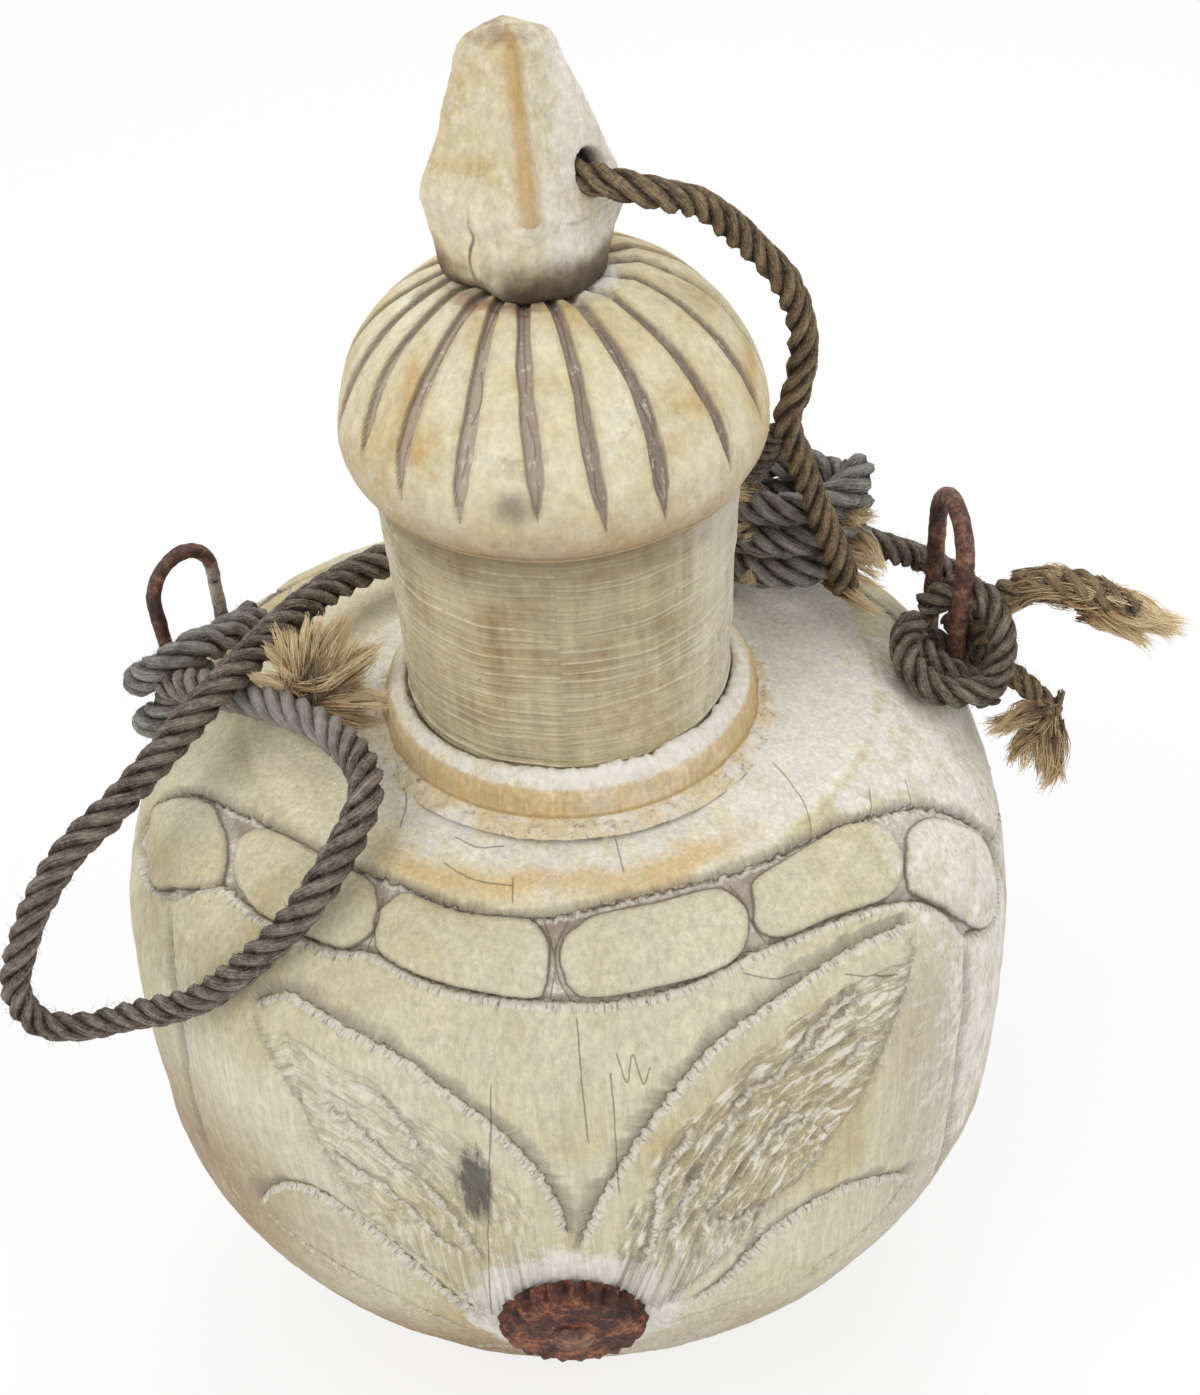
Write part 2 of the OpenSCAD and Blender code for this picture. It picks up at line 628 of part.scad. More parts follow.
module left_fray() {
    color(straw) fray([-60, -16, shoulder_height + 6], [-46, -12, shoulder_height + 10],
        rope_d - 1, rope_d + 11);
}

module long_fray() {
    color(straw) fray(end_of(long_route), end_of(long_route) + [10, -3, -6], tether_d,
        tether_d + 4);
}

module short_fray() {
    color(straw) fray(end_of(short_route), end_of(short_route) + [-4, -4, -16], tether_d - 1,
        tether_d + 10);
}

body();
neck();
stopper_dome();
stopper_finial();
crown_cap();
cap_nail();
left_staple();
right_staple();
left_knot();
neck_knot();
right_knot();
carry_rope();
staple_rope();
stopper_tether();
tether_strand();
long_tail();
short_tail();
left_fray();
long_fray();
short_fray();
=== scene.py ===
# Carved wooden water bottle with a tethered stopper and a knotted carrying rope.
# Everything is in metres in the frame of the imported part; mm is one millimetre.
import math
import random

import bpy
import numpy as np
from mathutils import Matrix, Vector, kdtree, noise


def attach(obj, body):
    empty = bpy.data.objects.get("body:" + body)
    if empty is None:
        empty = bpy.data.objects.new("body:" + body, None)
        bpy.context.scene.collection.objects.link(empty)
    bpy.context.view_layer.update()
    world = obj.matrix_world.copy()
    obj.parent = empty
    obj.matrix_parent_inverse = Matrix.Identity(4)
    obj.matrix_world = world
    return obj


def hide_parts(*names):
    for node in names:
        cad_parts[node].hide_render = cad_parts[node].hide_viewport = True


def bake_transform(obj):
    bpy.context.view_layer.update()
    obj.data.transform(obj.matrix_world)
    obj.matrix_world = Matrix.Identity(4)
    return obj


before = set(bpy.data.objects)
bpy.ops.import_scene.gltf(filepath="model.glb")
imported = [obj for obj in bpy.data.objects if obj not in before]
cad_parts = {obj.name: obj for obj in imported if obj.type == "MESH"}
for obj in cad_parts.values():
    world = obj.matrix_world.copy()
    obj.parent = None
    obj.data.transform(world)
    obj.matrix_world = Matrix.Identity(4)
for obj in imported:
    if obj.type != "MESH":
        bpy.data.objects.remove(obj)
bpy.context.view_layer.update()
mm = 0.001
rng = random.Random(7)
scene = bpy.context.scene

# Camera, as solved from the outline of the bottle in the picture
cameraLook = {
    "place": (17.9, -353.9, 478.8),  # mm
    "pitch": 39.0,  # degrees below level
    "yaw": 0.9,  # degrees to the right
    "roll": -1.5,
    "focalPixels": 2000.0,
    "axisPixel": (664.6, 700.8),
    "picture": (1200, 1395),
}


def makeCamera(look):
    pitch, yaw, roll = (math.radians(look[k]) for k in ("pitch", "yaw", "roll"))
    ahead = Vector((math.sin(yaw) * math.cos(pitch), math.cos(yaw) * math.cos(pitch), -math.sin(pitch)))
    right = Vector((math.cos(yaw), -math.sin(yaw), 0))
    up = right.cross(ahead)
    right, up = right * math.cos(roll) + up * math.sin(roll), up * math.cos(roll) - right * math.sin(roll)
    wide, high = look["picture"]
    data = bpy.data.cameras.new("camera")
    data.sensor_width = 36
    data.lens = look["focalPixels"] / high * data.sensor_width
    data.shift_x = (wide / 2 - look["axisPixel"][0]) / high
    data.shift_y = (look["axisPixel"][1] - high / 2) / high
    data.clip_start = 0.01
    data.clip_end = 50
    camera = bpy.data.objects.new("camera", data)
    turn = Matrix((right, up, -ahead)).transposed().to_4x4()
    camera.matrix_world = Matrix.Translation(Vector(look["place"]) * mm) @ turn
    scene.collection.objects.link(camera)
    scene.camera = camera


makeCamera(cameraLook)
print("camera made")


# Small tools for shapes

def meshObject(name, points, faces, material, attributes=None, smooth=True):
    mesh = bpy.data.meshes.new(name)
    mesh.from_pydata(np.asarray(points).tolist(), [], faces)
    mesh.update()
    if smooth:
        mesh.polygons.foreach_set("use_smooth", [True] * len(mesh.polygons))
    for label, values in (attributes or {}).items():
        values = np.asarray(values, dtype=np.float32)
        kind = "FLOAT_VECTOR" if values.ndim == 2 else "FLOAT"
        layer = mesh.attributes.new(label, kind, "POINT")
        layer.data.foreach_set("vector" if values.ndim == 2 else "value", values.ravel())
    mesh.materials.append(material)
    piece = bpy.data.objects.new(name, mesh)
    scene.collection.objects.link(piece)
    return piece


def gridFaces(rows, around, capped=False):
    faces = [(i * around + k, i * around + (k + 1) % around, (i + 1) * around + (k + 1) % around,
              (i + 1) * around + k) for i in range(rows - 1) for k in range(around)]
    if capped:
        faces.append(tuple(reversed(range(around))))
        faces.append(tuple(range((rows - 1) * around, rows * around)))
    return faces


def smoothStep(low, high, value):
    t = np.clip((value - low) / (high - low), 0, 1)
    return t * t * (3 - 2 * t)


def bell(value, width):
    return np.exp(-(value / width) ** 2)


def bumps(points, size, height):
    # gentle unevenness over lumps of a size
    flat = (np.asarray(points) / size).reshape(-1, 3).tolist()
    return np.array([noise.noise(p) for p in flat]).reshape(np.shape(points)[:-1]) * height


def along3(*values):
    return np.stack(np.broadcast_arrays(*values), -1).astype(float)


def spline(points, steps):
    # the same smooth curve through given points everywhere
    p = [np.array(q, dtype=float) for q in points]
    out = []
    for i in range(len(p) - 1):
        a, b, c, d = p[max(0, i - 1)], p[i], p[i + 1], p[min(len(p) - 1, i + 2)]
        for k in range(steps):
            t = k / steps
            out.append(0.5 * (2 * b + t * (c - a) + t * t * (2 * a - 5 * b + 4 * c - d)
                              + t ** 3 * (3 * b - a - 3 * c + d)))
    out.append(p[-1])
    return np.array(out)


def evenly(points, spacing):
    steps = np.linalg.norm(np.diff(points, axis=0), axis=1)
    along = np.concatenate([[0], np.cumsum(steps)])
    count = max(2, int(round(along[-1] / spacing)) + 1)
    places = np.linspace(0, along[-1], count)
    return np.stack([np.interp(places, along, points[:, k]) for k in range(points.shape[1])], 1), along[-1]


def unit(vectors):
    return vectors / np.maximum(np.linalg.norm(vectors, axis=-1, keepdims=True), 1e-9)


def carriedFrames(points):
    # the direction along a line of places and two across it, carried on without twist
    heading = unit(np.gradient(points, axis=0))
    side = np.array((0.31, 0.17, 0.93))
    sides = []
    for h in heading:
        side = unit(side - h * side.dot(h))
        sides.append(side)
    return heading, np.array(sides), np.cross(heading, sides)


def tubeRings(points, radius, around, sides):
    # radius and around may differ at every point of every ring
    _, side, other = carriedFrames(points)
    radius, around = np.broadcast_arrays(radius, around)
    return points[:, None] + radius[..., None] * (np.cos(around)[..., None] * side[:, None]
                                                  + np.sin(around)[..., None] * other[:, None])


# Small tools for materials. A colour or amount is a node with the name of its output

def linear(hexColour):
    shares = [int(hexColour[i:i + 2], 16) / 255 for i in (1, 3, 5)]
    return tuple(c / 12.92 if c <= 0.04045 else ((c + 0.055) / 1.055) ** 2.4 for c in shares) + (1.0,)


def addNode(material, kind, settings=None, links=None):
    node = material.node_tree.nodes.new(kind)
    for name, value in (settings or {}).items():
        setattr(node, name, value)
    for name, value in (links or {}).items():
        if isinstance(value, tuple) and len(value) == 2 and hasattr(value[0], "outputs"):
            material.node_tree.links.new(value[0].outputs[value[1]], node.inputs[name])
        else:
            node.inputs[name].default_value = value
    return node


def newMaterial(name):
    material = bpy.data.materials.new(name)
    material.use_nodes = True
    material.node_tree.nodes.clear()
    return material, (addNode(material, "ShaderNodeTexCoord"), "Object")


def noiseAt(m, place, scale, detail=6.0, roughness=0.7, distortion=0.0):
    return addNode(m, "ShaderNodeTexNoise", None,
                   {"Vector": place, "Scale": scale, "Detail": detail, "Roughness": roughness,
                    "Distortion": distortion}), "Fac"


def stretched(m, place, scale):
    return addNode(m, "ShaderNodeMapping", None, {"Vector": place, "Scale": scale}), "Vector"


def mark(m, name):
    return addNode(m, "ShaderNodeAttribute", {"attribute_name": name}), "Fac"


def marks(m, name):
    value = addNode(m, "ShaderNodeAttribute", {"attribute_name": name})
    split = addNode(m, "ShaderNodeSeparateXYZ", None, {"Vector": (value, "Vector")})
    return [(split, axis) for axis in "XYZ"]


def product(m, first, second):
    return addNode(m, "ShaderNodeMath", {"operation": "MULTIPLY"}, {0: first, 1: second}), "Value"


def weighted(m, first, share, second):
    return addNode(m, "ShaderNodeMath", {"operation": "MULTIPLY_ADD"}, {0: first, 1: share, 2: second}), "Value"


def between(m, amount, low, high, least=0.0, most=1.0):
    return addNode(m, "ShaderNodeMapRange", None,
                   {"Value": amount, "From Min": low, "From Max": high, "To Min": least, "To Max": most}), "Result"


def shades(m, amount, stops):
    ramp = addNode(m, "ShaderNodeValToRGB", None, {"Fac": amount})
    first, last = ramp.color_ramp.elements
    first.position, first.color = stops[0][0], linear(stops[0][1])
    last.position, last.color = stops[-1][0], linear(stops[-1][1])
    for position, colour in stops[1:-1]:
        ramp.color_ramp.elements.new(position).color = linear(colour)
    return ramp, "Color"


def darkened(m, below, amount):
    return addNode(m, "ShaderNodeMix", {"data_type": "RGBA", "blend_type": "MULTIPLY"},
                   {"Factor": 1.0, 6: below, 7: amount}), 2


def coat(m, below, colour, amount, low=0.0, high=1.0, most=1.0):
    # a colour that covers another as an amount rises from low to high
    return addNode(m, "ShaderNodeMix", {"data_type": "RGBA"},
                   {"Factor": between(m, amount, low, high, 0.0, most), 6: below, 7: linear(colour)}), 2


def finishMaterial(m, colour, roughness, height=None, bumpDistance=0.0, settings=None):
    links = {"Base Color": colour, "Roughness": roughness}
    if height:
        bump = addNode(m, "ShaderNodeBump", None, {"Height": height, "Distance": bumpDistance, "Strength": 1.0})
        links["Normal"] = (bump, "Normal")
    shader = addNode(m, "ShaderNodeBsdfPrincipled", None, links)
    for name, value in (settings or {}).items():
        shader.inputs[name].default_value = value
    addNode(m, "ShaderNodeOutputMaterial", None, {"Surface": (shader, "BSDF")})
    return m


# The body's plain form, which the ropes lie on and the carving is cut into

bodyForm = {
    "halfWidth": 104.5, "halfDepth": 93.0, "belly": 98.0, "rise": 107.0, "drop": 112.0,
    "shoulder": 4.1, "under": 1.55, "bellySection": 2.1, "shoulderSection": 2.5,
}


def shareAt(z):
    # share of the belly's size at a height, and how full the level section is there
    f = bodyForm
    up = np.clip((z - f["belly"]) / f["rise"], 0, 1)
    down = np.clip((f["belly"] - z) / f["drop"], 0, 1)
    share = np.where(z >= f["belly"], (1 - up ** f["shoulder"]) ** (1 / f["shoulder"]),
                     (1 - down ** f["under"]) ** (1 / f["under"]))
    return share, f["bellySection"] + (f["shoulderSection"] - f["bellySection"]) * up


def outOfForm(p):
    # below nought inside the body
    share, section = shareAt(p[..., 2])
    f = bodyForm
    reach = (np.abs(p[..., 0]) / f["halfWidth"]) ** section + (np.abs(p[..., 1]) / f["halfDepth"]) ** section
    return reach ** (1 / section) - share


def outward(p):
    step = 0.02
    return unit(np.stack([outOfForm(p + step * axis) - outOfForm(p - step * axis) for axis in np.eye(3)], -1))


def onBody(azimuth, elevation):
    # the place on the body in a direction from its middle, in degrees round from the front and up from level
    a, e = np.radians(azimuth), np.radians(elevation)
    direction = np.stack([np.sin(a) * np.cos(e), -np.cos(a) * np.cos(e), np.sin(e)], -1)
    low, high = np.zeros(len(direction)), np.full(len(direction), 150.0)
    for _ in range(24):
        t = (low + high) / 2
        hit = outOfForm(direction * t[:, None] + (0, 0, bodyForm["belly"])) <= 0
        low, high = np.where(hit, t, low), np.where(hit, high, t)
    return direction * low[:, None] + (0, 0, bodyForm["belly"])


def shoulderAt(x, y):
    # height of the shoulder above a place
    f = bodyForm
    low, high = np.zeros(np.shape(x)), np.ones(np.shape(x))
    for _ in range(22):
        t = (low + high) / 2
        hit = outOfForm(along3(x, y, f["belly"] + f["rise"] * t)) <= 0
        low, high = np.where(hit, t, low), np.where(hit, high, t)
    return f["belly"] + f["rise"] * low


# Ropes

ropeLook = {
    "strands": 4,
    "layLength": 2.55,  # diameters for a strand to go once round
    "strandSize": 0.45,  # share of the rope's radius
    "sides": 44,
    "ringSpacing": 0.055,  # diameters
    "yarnRelief": 0.12,  # share of the rope's radius
}


def ropeProfile(angle):
    # radius of round strands side by side, as a share of the rope's radius
    size = ropeLook["strandSize"]
    offset = 1 - size
    gap = 2 * np.pi / ropeLook["strands"]
    number = np.floor(angle / gap + 0.5)
    local = angle - number * gap
    radius = offset * np.cos(local) + np.sqrt(size ** 2 - (offset * np.sin(local)) ** 2)
    return radius, local / gap, number % ropeLook["strands"]


def ropeTube(name, route, diameter, material, taper=None, limed=None, lay=ropeLook["layLength"]):
    # taper and limed are each a list of (share of the length, value)
    points, length = evenly(route, diameter * ropeLook["ringSpacing"])
    along = np.linspace(0, length, len(points))[:, None]
    around = np.linspace(0, 2 * np.pi, ropeLook["sides"], endpoint=False)
    turn = 2 * np.pi * along / (lay * diameter) + bumps(points, diameter * 2.5, 0.5)[:, None]
    radius, local, number = ropeProfile(around - turn)
    yarns = along3(local * 9 + along / diameter * 2.2, along / diameter * 1.8, number * 5)
    radius = radius + bumps(yarns, 1, ropeLook["yarnRelief"])
    size = diameter / 2 * (1 + bumps(points, diameter * 1.4, 0.09))[:, None]
    size = size * np.interp(along / length, *zip(*(taper or [(0, 1)])))
    rings = tubeRings(points, size * radius, around, ropeLook["sides"])
    # crown is 1 on a strand's crown and 0 between strands; the rope materials paint shade between the strands and
    # highlight on the crowns from it
    crown = 1 - (2 * local) ** 2 + 0 * along
    strand = along3(local * 1.6 + along / diameter * 0.6, along / diameter, number * 5)
    age = np.interp(along / length, *zip(*(limed or [(0, 0)]))) + 0 * local
    piece = meshObject(name, rings.reshape(-1, 3), gridFaces(len(points), ropeLook["sides"], True), material,
                       {"strand": strand.reshape(-1, 3), "crown": crown.ravel(), "age": age.ravel()})
    return piece, points, length


def ropeMaterial(name, gap, dark, light, worn, lime=0.0):
    # twisted bast: matt, with painted shade between the strands, fine yarns along each strand and pale crowns that are
    # partly wear and partly painted highlight;
    # grey lime lies on it in patches
    m, place = newMaterial(name)
    strand = addNode(m, "ShaderNodeAttribute", {"attribute_name": "strand"}), "Vector"
    yarns = noiseAt(m, stretched(m, strand, (9.0, 1.4, 1.0)), 1.7, 5.0, 0.7)
    patches = noiseAt(m, place, 190.0, 6.0, 0.7)
    fine = noiseAt(m, place, 1500.0, 4.0, 0.75)
    tone = weighted(m, between(m, yarns, 0.36, 0.64), 0.42, product(m, between(m, fine, 0.35, 0.65), 0.22))
    # painted shade and highlight: darker between the strands, paler on each strand's crown
    tone = weighted(m, mark(m, "crown"), 0.34, weighted(m, between(m, patches, 0.34, 0.66), 0.3, tone))
    colour = shades(m, between(m, tone, 0.12, 1.2), [(0.06, gap), (0.3, dark), (0.58, light), (0.92, worn)])
    colour = coat(m, colour, "#7a5444", patches, 0.55, 0.7, 0.4)
    age = weighted(m, mark(m, "age"), 1.0, lime)
    chalk = product(m, age, weighted(m, mark(m, "crown"), 0.45, weighted(m, yarns, 0.8, patches)))
    colour = coat(m, colour, "#cdcbc4", chalk, 0.5, 1.3, 0.75)
    height = weighted(m, fine, 0.5, yarns)
    return finishMaterial(m, colour, 0.88, height, 0.001, {"Specular IOR Level": 0.2})


# each rope's darkest colour is painted shade between the strands; its palest is worn crowns with painted highlight
brownRope = ropeMaterial("bastRopeBrown", "#14100e", "#40352f", "#8a7c71", "#d3c8bc")
greyRope = ropeMaterial("bastRopeGrey", "#1d1a17", "#524c45", "#95918a", "#d9d6cf", 0.5)
tanRope = ropeMaterial("bastRopeFrayed", "#1a140f", "#54473a", "#937f64", "#d5b88c")
knotRope = ropeMaterial("bastRopeKnotted", "#110e0b", "#3a3229", "#7f7465", "#c2b7a6", 0.1)
tetherFibre = ropeMaterial("bastRopeTether", "#130f0c", "#42362c", "#8a7862", "#dcc08e")


def fibreMaterial(name, root, middle, tip):
    # loose bast fibre: dark where it leaves the rope, straw at the broken ends, a little glossy
    m, _ = newMaterial(name)
    tone = weighted(m, mark(m, "shade"), 0.6, mark(m, "along"))
    return finishMaterial(m, shades(m, tone, [(0.1, root), (0.5, middle), (1.0, tip)]), 0.6)


tanFibre = fibreMaterial("bastFibreTan", "#3b2e22", "#94795a", "#dcc294")
strawFibre = fibreMaterial("bastFibreStraw", "#3a2c20", "#b78f5e", "#f0dcb2")
brownFibre = fibreMaterial("bastFibreBrown", "#2f2721", "#6f5f50", "#b09c82")
greyFibre = fibreMaterial("bastFibreGrey", "#3a3733", "#77736b", "#c3bdb2")


def fibres(name, curves, thickness, material):
    # thin three-sided hairs along curves of equal length; each curve is a row of places
    curves = np.asarray(curves, dtype=float)
    count, steps = curves.shape[:2]
    heading = unit(np.gradient(curves, axis=1))
    across = unit(np.cross(heading, (0.3, 0.2, 0.93)))
    other = np.cross(heading, across)
    share = np.linspace(0, 1, steps)
    size = thickness * (1 - 0.6 * share)[None, :, None]
    rings = np.stack([curves + size * (math.cos(a) * across + math.sin(a) * other)
                      for a in (0, 2 * math.pi / 3, 4 * math.pi / 3)], 2)
    faces = []
    for f in range(count):
        for k in range(steps - 1):
            base = (f * steps + k) * 3
            faces += [(base + c, base + (c + 1) % 3, base + 3 + (c + 1) % 3, base + 3 + c) for c in range(3)]
    tone = np.array([rng.random() for _ in range(count)])
    return meshObject(name, rings.reshape(-1, 3) * mm, faces, material,
                      {"along": np.broadcast_to(share[None, :, None], rings.shape[:3]).ravel(),
                       "shade": np.broadcast_to(tone[:, None, None], rings.shape[:3]).ravel()})


def scatter(spread):
    return np.array([rng.gauss(0, 1) for _ in range(3)]) * spread


def tuft(name, lobes, count, thickness, material, wild=0.06):
    # brushes of fibres in locks; a lobe is its root, its tip, how wide each is and its share of the fibres
    curves = []
    total = sum(lobe[4] for lobe in lobes)
    for root, tip, rootWide, tipWide, share in lobes:
        root, tip = np.array(root, float), np.array(tip, float)
        reach = np.linalg.norm(tip - root)
        hairs = int(count * share / total)
        locks = [(scatter(rootWide * 0.5), scatter(tipWide * 0.5), scatter(reach * wild), rng.uniform(0.6, 1.05))
                 for _ in range(max(3, hairs // 26))]
        for _ in range(hairs):
            rootOff, tipOff, lean, cutBack = rng.choice(locks)
            start = root + rootOff + scatter(0.4)
            end = tip + tipOff + scatter(0.55)
            end = start + (end - start) * cutBack * rng.uniform(0.8, 1.05)
            bend = lean + scatter(reach * wild * 0.5)
            curves.append([start + (end - start) * t + bend * math.sin(math.pi * t) for t in np.linspace(0, 1, 6)])
    return fibres(name, curves, thickness, material)


def fuzz(name, route, radius, count, length, thickness, material):
    # short fibres that stand off a rope and lie back along it
    curves = []
    points = route / mm
    for _ in range(count):
        i = rng.randrange(1, len(points) - 1)
        h = unit(points[i + 1] - points[i - 1])
        out = scatter(1)
        out = unit(out - h * out.dot(h))
        start = points[i] + out * radius * 0.85
        end = start + unit(out * rng.uniform(0.15, 0.9) + h * rng.uniform(-1, 1)) * length * rng.uniform(0.3, 1.3)
        sag = out * length * 0.12 + scatter(length * 0.08)
        curves.append([start + (end - start) * t + sag * math.sin(math.pi * t) for t in (0, 0.35, 0.7, 1)])
    return fibres(name, curves, thickness, material)


# Routes of the free ropes, the same points as the part's own
carryRoute = [(41, 35, 213), (32, 38, 211), (18, 41, 210), (3, 42, 210), (-10, 41, 210),
              (-24, 39, 210), (-38, 31, 213), (-50, 20, 214), (-59, 4, 216), (-67, -13, 217),
              (-75, -26, 215), (-84, -36, 209), (-92, -44, 204), (-100, -50, 199), (-107, -56, 191),
              (-112, -60, 181), (-115, -62, 171), (-112, -63, 162), (-103, -64, 161), (-91, -66, 166),
              (-76, -70, 174), (-63, -72, 186), (-51, -70, 198), (-43, -62, 206), (-38, -52, 212),
              (-40, -42, 213), (-47, -32, 213), (-57, -22, 211), (-68, -14, 209), (-80, -5, 205),
              (-89, 3, 199)]
stapleRoute = [(70, 32, 213), (79, 34, 208), (86, 39, 202), (94, 36, 199), (99, 27, 198), (99, 17, 198)]
tetherRoute = [(4.7, -12, 326.5), (12.5, -16.5, 326.5), (18, -19.5, 326.3), (25, -18, 323.5),
               (33, -8, 316.5), (42, 0, 305), (49, 4, 295), (53, 8, 284), (54, 10, 275), (53, 10, 267),
               (51, 10, 258), (55, 12, 245), (60, 14, 230), (64, 16, 218), (66, 18, 209)]
strandRoute = [(50, 11, 256), (47, 16, 247), (45, 21, 240), (43, 27, 232), (43, 30, 226)]
longRoute = [(98, 12, 197.5), (99, 12, 206), (105, 10, 213), (113, 7, 216), (121, 4, 215), (129, 1, 212)]
shortRoute = [(99, 5, 196), (105, 0, 194), (109, -3, 191), (112, -5, 188)]
ropeSize = {"carry": 8.0, "thin": 7.0, "strand": 5.6}  # mm


def freeRope(name, node, route, diameter, material, farEnd, stiffness, withPieces=(), **look):
    piece, points, length = ropeTube(name, spline(route, 12) * mm, diameter * mm, material, **look)
    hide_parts(node)
    if length < 6 * diameter * mm:  # a stub, shorter than six diameters; it is returned the same as a longer rope
        return piece, points
    return piece, points


leftFray = tuft("leftTuft", [
    ((-56, -17, 211), (-64, -16, 216), 2.6, 2.2, 3), ((-56, -16, 212), (-61, -15, 223), 2.6, 2.4, 3),
    ((-55, -16, 212), (-56, -14, 228), 2.6, 2.8, 4), ((-54, -15, 212), (-50, -15, 230), 3.0, 3.0, 4),
    ((-54, -15, 212), (-43, -15, 229), 3.0, 3.4, 5), ((-53, -16, 211), (-37, -15, 222), 3.0, 3.4, 5),
    ((-53, -17, 210), (-35, -17, 211), 3.0, 3.0, 4), ((-53, -18, 209), (-38, -18, 202), 2.6, 2.4, 3)],
    3000, 0.15, strawFibre)
leftCore = tuft("leftTuftCore", [
    ((-54, -16, 211), (-46, -15, 219), 3.0, 5.0, 3), ((-53, -17, 210), (-43, -16, 211), 3.0, 5.0, 3),
    ((-54, -17, 211), (-50, -16, 222), 3.0, 4.0, 2)], 800, 0.12, brownFibre, 0.12)
longFray = tuft("longTailTuft", [
    ((113, 7, 215), (126, 3, 214), 3.6, 3.2, 4), ((119, 5, 214), (138, 0, 207.5), 3.4, 2.8, 7),
    ((118, 4, 212), (131, 0, 204.5), 2.8, 2.4, 3)], 2600, 0.15, strawFibre, 0.05)
longWrap = tuft("longTailWrap", [
    ((100, 11, 208), (110, 8, 217), 3.4, 3.0, 2), ((106, 9, 214), (119, 5, 216), 3.8, 3.2, 4),
    ((112, 7, 215), (125, 3, 212), 3.6, 3.4, 3)], 1300, 0.13, tanFibre, 0.07)
shortFray = tuft("shortTailTuft", [
    ((108, -3, 191), (112, -5, 187), 3.4, 3.0, 2), ((110, -4, 189), (97, -7, 186), 2.4, 3.0, 3),
    ((110, -5, 188), (104, -7, 176), 3.0, 3.8, 4), ((111, -5, 187), (112, -8, 169), 2.8, 3.2, 4)],
    2200, 0.14, tanFibre, 0.07)
for piece in (leftCore, longWrap):
    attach(piece, "flask")
for piece, node in ((leftFray, "left_fray"), (longFray, "long_fray"), (shortFray, "short_fray")):
    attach(piece, "flask")
    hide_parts(node)

carryRope, carryPoints = freeRope("carryRope", "carry_rope", carryRoute, ropeSize["carry"], brownRope,
                                  "object", "medium", [leftFray, leftCore],
                                  limed=[(0, 0), (0.79, 0), (0.86, 0.8), (0.92, 0.9), (1, 0.4)],
                                  taper=[(0, 1.02), (0.3, 1), (0.38, 0.93), (0.46, 0.88), (0.53, 0.81), (0.6, 0.8),
                                         (0.7, 0.87), (0.8, 0.94), (1, 1)])
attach(carryRope, "flask")
stapleRope, staplePoints = freeRope("stapleRope", "staple_rope", stapleRoute, ropeSize["thin"], brownRope,
                                    "object", "medium")
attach(stapleRope, "flask")
tether, _ = freeRope("stopperTether", "stopper_tether", tetherRoute, ropeSize["thin"], tetherFibre,
                     "object", "medium", lay=3.2, taper=[(0, 0.86), (0.8, 0.9), (1, 1)])
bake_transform(tether)
strand, _ = freeRope("tetherStrand", "tether_strand", strandRoute, ropeSize["strand"], brownRope,
                     "object", "limp")
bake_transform(strand)
longTail, longPoints = freeRope("longTail", "long_tail", longRoute, ropeSize["thin"], tanRope,
                                "bare", "medium", [longFray, longWrap], taper=[(0, 1), (0.2, 1.2), (0.7, 1.15), (1, 0.8)])
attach(longTail, "flask")
shortTail, shortPoints = freeRope("shortTail", "short_tail", shortRoute, ropeSize["strand"], tanRope,
                                  "bare", "limp", [shortFray])
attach(shortTail, "flask")
for label, route, size, count, fibre in (
        ("carryFuzz", carryPoints, 3.6, 1100, brownFibre), ("tailFuzz", longPoints, 3.5, 420, strawFibre),
        ("shortFuzz", shortPoints, 2.8, 160, strawFibre), ("stapleFuzz", staplePoints, 3.5, 240, strawFibre)):
    hair = fuzz(label, route, size, count, 1.7, 0.05, fibre)
    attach(hair, "flask")
print("free ropes made")


# Staple places and the knots wound round them, the same as the part's own

stapleLook = {
    "left": {"near": (-90, 10), "turn": 52, "span": 18, "wire": 3.8, "top": 227, "thin": 0.87, "bow": 3.4, "limed": 1.0},
    "right": {"near": (91.5, 9), "turn": 98, "span": 22, "wire": 4.4, "top": 232, "thin": 0.96, "bow": -1.5, "limed": 0.3},
    "bite": 9,  # mm of leg in the wood
}


def stapleLegs(look):
    near, turn = np.array(look["near"], float), math.radians(look["turn"])
    return near, near + look["span"] * np.array((math.cos(turn), math.sin(turn)))


turnRings = 24
shoulderTop = bodyForm["belly"] + bodyForm["rise"]


def wound(rows, angle, start, end):
    # a row is the count of turns, the turn's middle, its height above the shoulder, half its length and width,
    # and its rise to the right
    rows = np.array(rows, float)
    count = np.arange(round(start * turnRings), round(end * turnRings) + 1) / turnRings
    x, y, height, halfLong, halfWide, rise = [np.interp(count, rows[:, 0], rows[:, k]) for k in range(1, 7)]
    a, t = 2 * np.pi * count, math.radians(angle)
    along, across = halfLong * np.cos(a), halfWide * np.sin(a)
    offX = along * math.cos(t) - across * math.sin(t)
    offY = along * math.sin(t) + across * math.cos(t)
    return along3(x + offX, y + offY, shoulderTop + height + rise * offX)


def laidOnWood(points, diameter, gap=0.3):
    rings = tubeRings(points, diameter / 2, np.linspace(0, 2 * np.pi, 8, endpoint=False), 8)
    lift = (shoulderAt(rings[..., 0], rings[..., 1]) - rings[..., 2]).max(1) + gap
    lift = np.array([max(0, lift[max(0, i - 2):i + 3].max()) for i in range(len(lift))])
    return points + along3(0, 0, lift)


